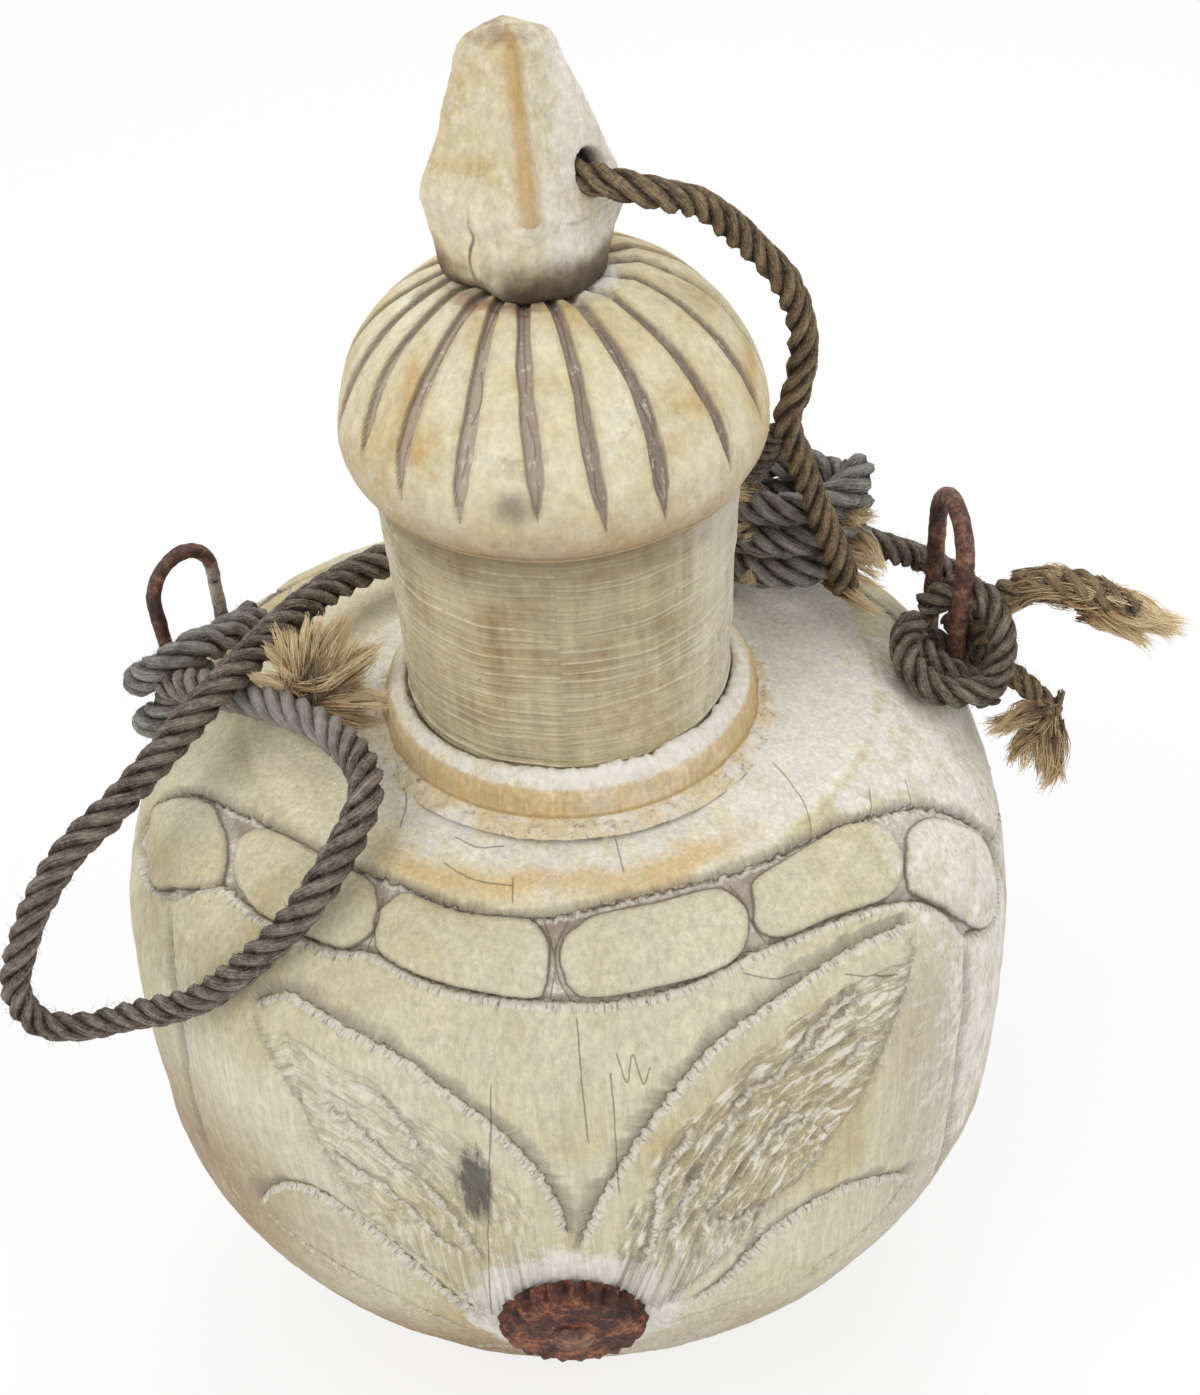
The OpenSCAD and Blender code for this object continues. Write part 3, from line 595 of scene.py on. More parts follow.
leftNear, leftFar = stapleLegs(stapleLook["left"])
rightNear, rightFar = stapleLegs(stapleLook["right"])
legGap = 0.6
leftHug = (ropeSize["carry"] + stapleLook["left"]["wire"]) / 2 + legGap
leftMiddle = (leftNear + leftFar) / 2
leftReach = stapleLook["left"]["span"] / 2 + leftHug
leftBulge = leftHug * 1.43
rightHug = (ropeSize["thin"] + stapleLook["right"]["wire"]) / 2 + 4 * legGap
leftWinding = wound([
    (0, *leftNear, -18, leftHug, leftHug, 0.9), (1, *leftNear, -12, leftHug, leftHug, 0.8),
    (1.5, *leftNear, -2.4, leftHug, leftHug, 0.5),
    (1.7, leftMiddle[0] - 1, leftMiddle[1] - 1.3, 2, leftReach - 1.3, leftBulge, 0.1),
    (1.875, *leftMiddle, -4, leftReach + 0.4, leftBulge, 0),
    (2, *leftMiddle, -4.7, leftReach + 0.4, leftBulge, 0)], 52, 0.375, 1.9375)
rightWinding = wound([
    (0, rightNear[0] - 1, rightNear[1], -17, rightHug + 1, rightHug, -0.7),
    (1.5, rightNear[0] - 1, rightNear[1], -2, rightHug + 1, rightHug, -0.7)], 0, 0, 1.25)
neckWinding = wound([(0, 54, 32, 2, 15.2, 12.8, 0), (3, 54, 32, 27.8, 15.2, 12.8, 0)], 0, 0, 3)
rightLoop = np.array([(84, 15, 205), (91, 13, 211), (97, 8, 211), (100, 2, 204), (97, -4, 197), (90, -7, 197),
                      (83, -7, 199), (78.5, -3, 202), (78, 4, 204), (81, 10, 205)], float)
for name, node, path, size, material, fibre in (
        ("leftKnot", "left_knot", leftWinding, ropeSize["carry"], greyRope, greyFibre),
        ("rightKnot", "right_knot", rightWinding, ropeSize["thin"], knotRope, brownFibre),
        ("rightKnotLoop", "right_knot", spline(rightLoop, 6), ropeSize["thin"], knotRope, brownFibre),
        ("neckKnot", "neck_knot", neckWinding, ropeSize["carry"], greyRope, greyFibre)):
    laid = spline(laidOnWood(path, size), 4)
    piece, points, length = ropeTube(name, laid * mm, size * mm, material)
    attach(piece, "flask")
    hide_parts(node)
    hair = fuzz(name + "Fuzz", points, size / 2, 420, 1.8, 0.05, fibre)
    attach(hair, "flask")
neckTuft = tuft("neckKnotTufts", [
    ((63, 24, 224), (73, 18, 228), 3.0, 3.2, 3), ((64, 22, 217), (76, 15, 215), 3.0, 3.2, 4),
    ((64, 22, 211), (74, 14, 204), 3.0, 3.0, 3), ((46, 24, 231), (41, 18, 239), 2.4, 2.6, 2),
    ((44, 24, 223), (40, 18, 226), 2.4, 2.6, 2), ((45, 22, 215), (42, 16, 212), 2.4, 2.4, 2)],
    1100, 0.13, strawFibre)
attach(neckTuft, "flask")
print("knots wound")


# Carving of the body: lines in degrees round from the front and up from the belly. The back has the same

bandOuter = [(-78, 42), (-76, 45), (-71.5, 48.5), (-63, 51.5), (-53, 53.5), (-40, 54.5), (-27, 55), (-14, 54),
             (-3, 54), (10, 55), (20, 55), (27, 54.5), (35, 54), (42, 53.5), (50, 52.5), (57, 50.5), (63, 48), (68, 44),
             (72, 39), (76, 35), (82, 34), (88, 35), (95, 38.5), (102, 42), (105, 45)]
bandInner = [(-60, 41), (-54, 46), (-43, 46.5), (-33, 47), (-27, 48), (-17, 46.5), (-6, 46), (5, 45.5), (16, 45.5),
             (27, 46.5), (37, 46), (44, 45), (49, 43.5), (53, 41.5), (56, 38.5), (58.5, 34)]
bandEnds = [[(-60, 42), (-67, 39), (-78, 37)], [(58.5, 34), (64, 31.5), (69, 30), (74.5, 33)]]
panelSides = [
    [(-60, 41), (-57, 36.5), (-55, 31), (-54.5, 27), (-55.5, 20), (-56.5, 13), (-57, 4)],
    [(58.5, 34), (57.5, 28), (56.5, 20), (57, 12), (57.5, 2), (57, -8)],
    [(-78, 42), (-80, 34), (-80, 20), (-79, 6)], [(72, 39), (75.5, 30), (77, 16), (77.5, 4)]]
petals = [
    [(0, 10), (2, 16.5), (4, 21.5), (7, 26.5), (10.5, 31.5), (14.5, 35.5), (19.5, 39), (26, 41), (32, 42),
     (38, 42.5), (44.5, 42), (51, 40.5)],
    [(-1, 12), (-1.5, 18), (-3.5, 24), (-6.5, 28.5), (-11, 33), (-16, 36), (-21, 38.5), (-28, 40), (-33.5, 41),
     (-38, 41), (-42.5, 38)],
    [(49.5, 2.5), (44, 6.5), (38.5, 9.5), (34, 10), (29.5, 9), (25.5, 6.5), (18.5, -2), (15, -5)],
    [(-47, 4), (-43.5, 9.5), (-39, 13.5), (-35, 14.5), (-31, 13), (-27, 10), (-19, 0.5), (-13, -7.5)]]
petalFeet = [
    [(51, 40.5), (45.5, 34), (42.5, 31), (39, 26), (35, 22), (31, 16.5), (26, 13), (22.5, 8), (17, 2), (10, -4)],
    [(-42.5, 38), (-37, 31.5), (-34, 27.5), (-30.5, 18), (-28, 12.5), (-23.5, 8), (-19, 3.5), (-13, -5)],
    [(49.5, 2.5), (46, -1), (41.5, -3.5), (36, -6), (30, -8), (23, -9), (17, -10), (12, -12)],
    [(-47, 4), (-43.5, 1.5), (-38.5, 0), (-32.5, -2), (-26, -5.5), (-21, -9.5), (-16, -14)],
    [(-8, -20), (-22, -26), (-34, -32), (-22, -40), (-8, -36), (-4, -24)],
    [(6, -20), (20, -26), (32, -32), (20, -40), (7, -36), (2, -24)]]
veins = [
    [(41, 38.5), (35.5, 38.5), (31.5, 36.5), (28, 34), (23, 33), (20, 28.5), (17, 24), (14, 18), (11.5, 9.5)],
    [(40.5, 38.5), (36, 37), (32.5, 35.5), (28.5, 33)],
    [(16.5, 31), (14, 27.5), (11, 22), (10, 14), (7.5, 5)],
    [(40.5, 33.5), (36, 31.5), (34, 32)],
    [(23, 23), (19.5, 19), (17.5, 14), (21.5, 12.5), (24, 13.5), (28, 15)],
    [(29.5, 29.5), (27.5, 27.5), (24.5, 25), (22, 22)],
    [(34.5, 27.5), (29.5, 26), (25, 24.5)],
    [(25, 10.5), (23, 5.5), (21, 1.5)],
    [(-33, 31), (-28.5, 29.5), (-22, 24.5), (-18.5, 22), (-15.5, 16.5), (-12, 6.5)],
    [(-25, 35), (-21.5, 31.5), (-19, 27.5), (-18, 25)],
    [(-32, 24), (-28.5, 22.5), (-22.5, 18.5), (-17, 11), (-14, 8)]]
ovals = [
    [(-77.5, 42), (-75.5, 45), (-71, 48), (-66.5, 50), (-62, 50), (-57, 49), (-54, 46), (-61, 42), (-67, 39)],
    [(-53, 48), (-56, 50), (-56, 51.5), (-54, 53), (-50, 54), (-42, 54.5), (-35, 54.5), (-31, 54), (-28.5, 52),
     (-28, 50), (-31, 47.5), (-36, 47), (-45, 46.5), (-49, 47)],
    [(-27.5, 49.5), (-28.5, 51.5), (-27.5, 53), (-25, 54.5), (-17, 54), (-6, 54), (-3, 53), (-1.5, 51), (-2, 47.5),
     (-4, 46), (-12.5, 46.5), (-20, 47), (-26, 48)],
    [(0, 50), (1, 52), (3, 53), (7, 54), (20, 54), (26, 53.5), (28.5, 51.5), (28.5, 49.5), (26, 47), (22, 46),
     (12, 46), (4, 46), (1.5, 47), (0.5, 48.5)],
    [(30, 50.5), (31.5, 52.5), (35, 53), (43, 53), (50, 52.5), (54, 51), (55.5, 49), (54, 46), (51, 44.5),
     (47, 44.5), (40, 46), (33, 46.5), (30, 47.5), (29, 49)],
    [(54, 45.5), (57, 47), (60, 47), (63.5, 46), (67, 43), (70, 39.5), (71, 36), (71, 32.5), (68.5, 30.5),
     (63.5, 31.5), (59, 35.5), (56, 39), (52.5, 42.5), (52.5, 44)]]
cracks = [
    [(-9.5, 37), (-10, 30), (-11, 20), (-12, 7), (-12.5, -4)], [(7, 40), (8, 37), (9, 40), (10, 36.5), (11, 38)],
    [(-20.5, 61), (-16, 60.5), (-11.5, 61)], [(-20.5, 58), (-14, 57), (-8, 57)], [(12, 61), (12, 58)],
    [(-8, 57.5), (-7.5, 55.5)], [(-55, 68), (-38, 64), (-33, 60.5)], [(52, 61), (48.5, 56.5), (45.5, 54)],
    [(59, 52.5), (55.5, 51)], [(65.5, 50), (61.5, 48)], [(25.5, 45), (29, 43.5), (32.5, 43)],
    [(38.5, 40.5), (41.5, 39), (45, 37.5)], [(-2.2, 53.6), (-0.9, 51), (-0.7, 49), (-1.4, 46.2)],
    [(1.4, 53.4), (-0.3, 51.2), (-0.5, 48.8), (1, 46.2)], [(28.4, 53), (29, 51), (28.8, 49), (29.5, 47.2)],
    [(26.8, 53.6), (28.6, 51.6), (28.9, 49)], [(-28.6, 53), (-27.9, 51), (-28.2, 48.4)], [(55.6, 48.6), (54.2, 46.4)], [(6, 38), (6, 22)], [(2, 44), (2.5, 30)]]
stains = [(-12.5, 22.5, 3.0, 8.5, 1.0), (-7, 34, 1.6, 4, 0.35), (-8, 27, 1.4, 3, 0.3)]  # place, half size, strength
cutLook = {
    # depth, width of the smooth slope above the line and of the steep wall below it, mm; then how limed the wall
    # is, how dirty the slope is, how far the line wanders and how far the fine hairs across it reach, mm, and
    # how dark the line is
    "edge": (1.4, 2.2, 1.6, 0.95, 0.8, 0.6, 3.2, 0.8), "petal": (1.6, 4.6, 1.8, 1.0, 1.0, 0.8, 2.2, 0.8),
    "foot": (1.1, 3.0, 2.2, 0.6, 0.9, 0.8, 1.4, 0.6), "side": (0.9, 2.8, 2.8, 0.2, 0.7, 0.5, 0.8, 0.6),
    "soft": (0.9, 3.0, 3.0, 0.45, 0.6, 1.2, 1.0, 0.2), "vein": (0.7, 2.0, 1.7, 0.85, 0.8, 1.5, 1.4, 0.8),
}
lineSpacing = 0.5


def surfaceLine(line, closed=False):
    if closed:
        looped = spline([line[-1]] + line + line[:2], 6)[6:6 * (len(line) + 1)]
        rounded = np.concatenate([looped, looped[:1]])
    else:
        rounded = spline(line, 10)
    return evenly(onBody(rounded[:, 0], rounded[:, 1]), lineSpacing)[0]


def nearest(lines, places):
    # distance to the nearest line, how far above the line a place is, how far along it, how far from its ends,
    # and which line it is
    tree = kdtree.KDTree(sum(len(p) for p in lines))
    above, along, ends, number, spots = [], [], [], [], []
    for n, p in enumerate(lines):
        across = unit(np.cross(outward(p), np.gradient(p, axis=0)))
        uphill = np.stack([0.4 * np.abs(p[:, 0]) / 100 * np.sign(p[:, 0]), 0 * p[:, 0], 0 * p[:, 0] + 1], 1)
        above.append(across * (1 if (across * uphill).sum() >= 0 else -1))
        steps = np.arange(len(p))
        along.append(steps * lineSpacing)
        ends.append(np.minimum(steps, len(p) - 1 - steps) * lineSpacing)
        number.append(np.full(len(p), n))
        spots.append(p)
    spots, above, along, ends, number = map(np.concatenate, (spots, above, along, ends, number))
    for i, p in enumerate(spots.tolist()):
        tree.insert(p, i)
    tree.balance()
    found = [tree.find(p)[1:] for p in places.tolist()]
    index = np.array([f[0] for f in found])
    gap = np.array([f[1] for f in found])
    up = ((places - spots[index]) * above[index]).sum(1)
    return gap, up, along[index], ends[index], number[index]


def insideOutline(line, azimuth, elevation):
    rounded = spline([line[-1]] + line + line[:2], 6)[6:6 * (len(line) + 1)]
    inside = np.zeros(len(azimuth), bool)
    for a, b in zip(rounded, np.roll(rounded, -1, 0)):
        crosses = (a[1] > elevation) != (b[1] > elevation)
        edge = a[0] + (elevation - a[1]) * (b[0] - a[0]) / (b[1] - a[1] if b[1] != a[1] else 1e-9)
        inside ^= crosses & (azimuth < edge)
    return inside


def randomShare(number, seed):
    return np.modf(np.abs(np.sin(number * 12.9898 + seed * 78.233) * 43758.5453))[0]


def insideArea(area, azimuth, elevation):
    near = (azimuth > -80) & (azimuth < 76) & (elevation < 58) & (elevation > -20)
    inside = np.zeros(len(azimuth), bool)
    inside[near] = insideOutline(area, azimuth[near], elevation[near])
    return inside


def cutLines(kinds, front):
    # depth and paint along the nearest of the cut lines
    gap, up, along, ends, number = nearest([surfaceLine(line) for line, _ in kinds], front)
    deep, slopeWide, wallWide, limed, dirty, wander, reach, inked = np.array([cutLook[kind] for _, kind in kinds]).T[:, number]
    up = up - bumps(along3(along / 1.8, number * 9, 0), 1, 1) * wander
    uneven = 1 + bumps(front, 5, 0.6)
    fade = smoothStep(-0.5, 5, ends) * (gap < 6)
    slope = np.clip(1 - up / (slopeWide * uneven), 0, 1) * (up >= 0)
    wall = np.clip(1 + up / (wallWide * uneven), 0, 1) * (up < 0)
    crumb = bumps(along3(along / 1.2, up / 1.5, number * 7), 1, 0.9) * bell(up + 0.9, 1.1) * limed
    depth = (deep * (slope ** 1.5 + wall ** 1.2) - crumb) * fade
    lime = bell(up + 0.95, 0.85) * fade * limed
    dirt = slope ** 0.6 * fade * dirty
    hairs = smoothStep(-reach, -reach * 0.4, up) * smoothStep(reach * 0.7, 0.3, up) * fade * inked
    return depth, along3(dirt, lime, hairs), along3(along, up, number * 7)


def carve(points):
    # depth below the plain surface, and the marks that the paint follows
    front = points.copy()
    back = points[:, 1] > 0
    front[back, :2] *= -1
    azimuth = np.degrees(np.arctan2(front[:, 0], -front[:, 1]))
    elevation = np.degrees(np.arctan2(front[:, 2] - bodyForm["belly"], np.hypot(front[:, 0], front[:, 1])))
    kinds = ([(bandOuter, "edge"), (bandInner, "edge")] + [(line, "edge") for line in bandEnds]
             + [(line, "petal") for line in petals] + [(line, "soft") for line in petalFeet[:2]]
             + [(line, "foot") for line in petalFeet[2:]]
             + [(line, "side") for line in panelSides])
    depth, lines, lineRun = cutLines(kinds, front)
    veinDepth, veinLines, veinRun = cutLines([(line, "vein") for line in veins], front)

    fan = along3(0 * azimuth, 0, 0)
    for petal, foot, amount in ((petals[0], petalFeet[0], 1.0), (petals[1], petalFeet[1], 0.6)):
        inside = insideArea(petal + foot[1:], azimuth, elevation)
        _, up, along, _, _ = nearest([surfaceLine(petal)], front[inside])
        fan[inside] = along3(along, up, amount * smoothStep(-5.5, -9, up + bumps(front[inside], 6, 4)))
    ridges = bumps(along3(fan[:, 0] / 9, fan[:, 1] / 1.7, 3), 1, 1.8) * fan[:, 2]
    depth = depth + veinDepth - ridges

    gap = nearest([surfaceLine(oval, True) for oval in ovals], front)[0]
    inOval = np.zeros(len(points), bool)
    for oval in ovals:
        inOval |= insideArea(oval, azimuth, elevation)
    area = [p for p in bandOuter if p[0] <= 72] + bandEnds[1][::-1][:3] + bandInner[::-1] + bandEnds[0][1:]
    inBand = insideArea(area, azimuth, elevation)
    inside = np.where(inOval, gap, -gap)
    sunk = inBand * smoothStep(0.5, -0.3, inside)
    kept = np.where(inOval, smoothStep(1.2, 0.1, inside), 1)
    depth = depth * kept + sunk * 1.2 - inBand * inOval * smoothStep(0.5, 5, inside) * 0.5
    upper = inBand * sunk * smoothStep(49, 51, elevation)

    crackGap, crackUp = nearest([surfaceLine(crack) for crack in cracks], front)[:2]
    stain = np.maximum.reduce([bell(np.hypot((azimuth - a) / wide, (elevation - e) / high), 0.9) * strength
                               for a, e, wide, high, strength in stains]) * ~back
    below = smoothStep(0, -26, elevation)
    brown = np.maximum(smoothStep(-18, -56, azimuth) * smoothStep(32, 4, elevation) * 0.8,
                       below * np.where(azimuth < 0, 0.95, 0.35))
    pink = np.maximum(smoothStep(36, 52, azimuth) * smoothStep(43, 30, elevation) * 0.8, below * smoothStep(-5, 25, azimuth) * 0.6)
    gold = bell(elevation - 57 + bumps(front, 9, 2), 1.9) * smoothStep(-50, -20, azimuth) * smoothStep(50, 25, azimuth)
    cream = smoothStep(54.2, 56, elevation)
    return depth, {
        "cut": lines * kept[:, None], "cutRun": lineRun, "vein": veinLines * kept[:, None], "veinRun": veinRun,
        "fan": fan, "crack": along3(crackUp, smoothStep(1.0, 0.5, crackGap), stain),
        "band": along3(sunk, upper, inside), "zone": along3(brown, pink, gold), "cream": cream}


neckLook = {"x": 3.0, "y": -12.0, "crumbs": (40.0, 46.0)}


def bodyRows(spacing):
    # heights and shares of the belly's size, evenly spaced down the front from the neck to the foot
    steps = np.linspace(0, 1, 4000)
    f = bodyForm
    a = steps ** 2 * math.radians(88)
    rise = np.stack([f["halfDepth"] * np.cos(a) ** (2 / f["shoulder"]), f["belly"] + f["rise"] * np.sin(a) ** (2 / f["shoulder"])], 1)
    a = steps ** 1.3 * math.asin((f["belly"] / f["drop"]) ** (f["under"] / 2))
    drop = np.stack([f["halfDepth"] * np.cos(a) ** (2 / f["under"]), f["belly"] - f["drop"] * np.sin(a) ** (2 / f["under"])], 1)
    return evenly(np.concatenate([drop[::-1], rise[1:]]), spacing)[0]


def bodyMesh(spacing=0.5, frontCount=760, backCount=380):
    rows = bodyRows(spacing)
    angle = np.concatenate([np.linspace(-np.pi, 0, frontCount, endpoint=False), np.linspace(0, np.pi, backCount, endpoint=False)])
    f = bodyForm
    share, section = rows[:, 0:1] / f["halfDepth"], shareAt(rows[:, 1:2])[1]
    reach = ((np.abs(np.cos(angle)) / f["halfWidth"]) ** section
             + (np.abs(np.sin(angle)) / f["halfDepth"]) ** section) ** (-1 / section) * share
    points = along3(reach * np.cos(angle), reach * np.sin(angle), rows[:, 1:2]).reshape(-1, 3)
    depth, look = carve(points)
    fromNeck = np.hypot(points[:, 0] - neckLook["x"], points[:, 1] - neckLook["y"])
    top = smoothStep(185, 200, points[:, 2])
    crumbs = top * smoothStep(neckLook["crumbs"][1], neckLook["crumbs"][0], fromNeck + bumps(points, 4, 3))
    rough = bumps(points, 14, 0.45) + bumps(points, 4, 0.16) + crumbs * (bumps(points, 2.2, 0.9) + bumps(points, 1.0, 0.6))
    fromCap = np.linalg.norm(points - capMiddle, axis=1)
    azimuth = np.degrees(np.arctan2(points[:, 0], -points[:, 1]))
    shoulder = look["cream"] * np.maximum(smoothStep(5, 55, points[:, 0]) * 0.75, 0.5 * smoothStep(60, 48, fromNeck))
    side = smoothStep(40, 62, azimuth) * smoothStep(-10, 20, points[:, 2] - 90) * (1 - look["cream"]) * (azimuth < 100)
    lime = np.maximum.reduce([shoulder, 0.55 * side, 0.85 * bell(fromCap - 18, 8)])
    foot = smoothStep(0.2, 3.0, points[:, 2])
    moved = points - outward(points) * ((depth + rough) * foot)[:, None]
    moved[:, 2] = np.where(points[:, 2] < 0.01, 0, np.maximum(moved[:, 2], 0))
    look["worn"] = along3(crumbs, lime, look.pop("cream"))
    return moved * mm, gridFaces(len(rows), len(angle)) + [tuple(reversed(range(len(angle))))], look


def lineColours(m, colour, look, name, pits, strength):
    # grey dirt on the slope, broken lime on the wall, a ragged dark line between them and fine hairs across
    dirt, lime, hairs = marks(m, name)
    run = addNode(m, "ShaderNodeAttribute", {"attribute_name": name + "Run"}), "Vector"
    _, up, _ = marks(m, name + "Run")
    hair = noiseAt(m, stretched(m, run, (1.5, 0.2, 1.0)), 1.0, 3.0, 0.6)
    crumb = noiseAt(m, stretched(m, run, (0.8, 0.9, 1.0)), 1.0, 6.0, 0.75)
    edge = weighted(m, crumb, 1.6, weighted(m, up, 1.0, -0.8))
    distance = addNode(m, "ShaderNodeMath", {"operation": "ABSOLUTE"}, {0: edge}), "Value"
    line = product(m, product(m, hairs, between(m, pits, 0.38, 0.52, 0.4, 1.0)), between(m, distance, 0.04, 0.3, 1.0, 0.0))
    streak = weighted(m, hair, 0.8, weighted(m, pits, 0.5, -0.62))
    colour = coat(m, colour, look["violet"], weighted(m, dirt, 0.85, streak), 0.1, 0.9, 0.85)
    colour = coat(m, colour, look["chalk"], weighted(m, lime, 1.0, weighted(m, crumb, 1.8, -1.05)), 0.25, 0.7, 0.88)
    colour = coat(m, colour, look["violet"], product(m, lime, between(m, hair, 0.48, 0.6)), 0.2, 0.9, 0.6)
    colour = coat(m, colour, look["dark"], product(m, hairs, between(m, hair, 0.57, 0.66)), 0.2, 1.0, 0.75 * strength)
    return coat(m, colour, look["dark"], line, 0.1, 0.9, strength)


def limedWood(name, look, plain=False):
    # old pale wood rubbed with lime: matt, upright grain, white and violet-grey left in the cuts
    m, place = newMaterial(name)
    grain = noiseAt(m, stretched(m, place, look["grainStretch"]), 900.0, 6.0, 0.7)
    streaks = noiseAt(m, stretched(m, place, (1.0, 1.0, 0.12)), 160.0, 4.0, 0.6)
    broad = noiseAt(m, place, 24.0, 5.0, 0.6, 0.6)
    pits = noiseAt(m, place, 480.0, 8.0, 0.75)
    speck = noiseAt(m, place, 150.0, 7.0, 0.7)
    sunk, upper, inside = marks(m, "band")
    brown, pink, gold = marks(m, "zone")
    crumbs, white, cream = marks(m, "worn")
    crackUp, cracked, stain = marks(m, "crack")
    dirty = weighted(m, speck, 0.9, weighted(m, streaks, 0.5, -0.7))
    colour = shades(m, broad, [(0.3, look["gold"]), (0.48, look["wood"]), (0.68, look["pale"])])
    colour = coat(m, colour, look["cream"], weighted(m, cream, 0.9, weighted(m, broad, 0.8, -0.45)), 0.1, 1.0, 0.9)
    colour = coat(m, colour, look["brown"], weighted(m, brown, 1.0, dirty), 0.05, 1.0, 0.95)
    colour = coat(m, colour, look["pink"], weighted(m, pink, 1.0, dirty), 0.05, 1.0, 0.85)
    colour = coat(m, colour, look["lime"], weighted(m, white, 0.5, weighted(m, speck, 1.0, weighted(m, pits, 0.4, -0.2))),
                  look["limeFrom"], look["limeFrom"] + 0.2, 0.9)
    colour = coat(m, colour, look["streak"], product(m, gold, weighted(m, speck, 0.8, streaks)), 0.15, 0.9, 0.6)
    colour = darkened(m, colour, between(m, grain, 0.3, 0.65, 0.79, 1.08))
    colour = darkened(m, colour, between(m, pits, 0.33, 0.6, 0.88, 1.05))
    colour = darkened(m, colour, between(m, streaks, 0.35, 0.6, 0.93, 1.03))
    if not plain:
        # ridges of the petals: white and grey by turns with dark threads between them
        fan = addNode(m, "ShaderNodeAttribute", {"attribute_name": "fan"}), "Vector"
        fanned = marks(m, "fan")[2]
        ridge = noiseAt(m, stretched(m, fan, (0.11, 0.62, 0.0)), 1.0, 6.0, 0.68)
        thread = addNode(m, "ShaderNodeMath", {"operation": "ABSOLUTE"}, {0: weighted(m, ridge, 1.0, -0.5)}), "Value"
        colour = coat(m, colour, look["violet"], product(m, fanned, between(m, ridge, 0.5, 0.4)), 0.1, 0.9, 0.75)
        colour = coat(m, colour, look["lime"], product(m, fanned, between(m, ridge, 0.51, 0.59)), 0.1, 0.9, 0.8)
        colour = coat(m, colour, look["dark"], product(m, fanned, between(m, thread, 0.0, 0.016, 1.0, 0.0)), 0.2, 1.0, 0.65)
        # ground between the ovals: brown above, chalky below, and a thin dark line round each oval
        colour = coat(m, colour, look["sunk"], weighted(m, sunk, 0.8, weighted(m, pits, 0.9, -0.45)), 0.3, 0.9, 0.9)
        colour = coat(m, colour, look["lime"], product(m, sunk, pits), 0.48, 0.58, 0.8)
        colour = coat(m, colour, look["rose"], product(m, upper, weighted(m, streaks, 0.8, product(m, pits, 0.4))), 0.3, 0.75, 0.85)
        colour = lineColours(m, colour, look, "vein", pits, 0.5)
        colour = lineColours(m, colour, look, "cut", pits, 0.85)
        rim = addNode(m, "ShaderNodeMath", {"operation": "ABSOLUTE"}, {0: weighted(m, speck, 1.5, weighted(m, inside, 1.0, -0.75))}), "Value"
        colour = coat(m, colour, look["dark"], rim, 0.4, 0.08, 0.7)
        colour = coat(m, colour, look["violet"], rim, 1.6, 0.2, 0.3)
        crack = addNode(m, "ShaderNodeMath", {"operation": "ABSOLUTE"}, {0: weighted(m, speck, 1.0, weighted(m, crackUp, 1.0, -0.5))}), "Value"
        colour = coat(m, colour, look["crack"], product(m, cracked, between(m, crack, 0.06, 0.3, 1.0, 0.0)), 0.1, 0.9, 0.6)
    else:
        violet, lime, line = marks(m, "cut")
        colour = coat(m, colour, look["violet"], weighted(m, violet, 0.9, weighted(m, pits, 0.6, -0.4)), 0.1, 0.85, 0.85)
        colour = coat(m, colour, look["lime"], weighted(m, lime, 0.9, weighted(m, pits, 0.7, -0.4)), 0.25, 0.75, 0.92)
        colour = coat(m, colour, look["dark"], product(m, line, weighted(m, pits, 0.9, 0.35)), 0.15, 0.85, 0.9)
    colour = coat(m, colour, look["crumb"], product(m, crumbs, weighted(m, pits, 0.9, product(m, speck, 0.3))), 0.63, 0.72, 0.75)
    colour = coat(m, colour, look["lime"], product(m, crumbs, speck), 0.5, 0.62, 0.7)
    colour = coat(m, colour, look["smudge"], weighted(m, stain, 1.0, weighted(m, grain, 1.3, weighted(m, pits, 0.5, -1.0))), 0.3, 0.65, 0.85)
    height = weighted(m, pits, 0.8, weighted(m, grain, 0.6, product(m, crumbs, product(m, speck, 0.8))))
    return finishMaterial(m, colour, 0.75, height, look["bump"], {"Specular IOR Level": 0.3})


# Crown cap: flat disc with a crimped skirt, its own Z pointing out of the front
capLook = {"x": -2, "z": 91, "tilt": 8.0, "radius": 16.5, "points": 21, "height": 6.0, "sunk": 2.0}
capSeat = bodyForm["halfDepth"] * float(shareAt(np.array(capLook["z"]))[0]) - capLook["sunk"]
capMiddle = np.array((capLook["x"], -capSeat, capLook["z"]))
capPlace = Matrix.Translation(Vector(capMiddle) * mm) @ Matrix.Rotation(math.radians(90 + capLook["tilt"]), 4, "X")

bodyLook = {
    "grainStretch": (1.0, 1.0, 0.06), "wood": "#ded6b6", "gold": "#d0bd90", "pale": "#e6dfc8", "cream": "#f8eecf", "chalk": "#ebe5d9",
    "brown": "#a08463", "pink": "#c9beaf", "lime": "#f4f0e7", "streak": "#dfb66a", "violet": "#958a7d",
    "sunk": "#b9afa2", "rose": "#8d7667", "crumb": "#7d5340", "dark": "#463a30", "crack": "#5f4f3c",
    "smudge": "#4f4d48", "limeFrom": 0.62, "bump": 0.0007,
}
bodyWood = limedWood("limewashedCarvedWood", bodyLook)
collarWood = limedWood("limewashedCollarWood", bodyLook, plain=True)
points, faces, look = bodyMesh()
carvedBody = meshObject("carvedBody", points, faces, bodyWood, look)
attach(carvedBody, "flask")
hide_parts("body")
print("body carved")


# Turned pieces: a profile of radius and height, turned about the neck's axis

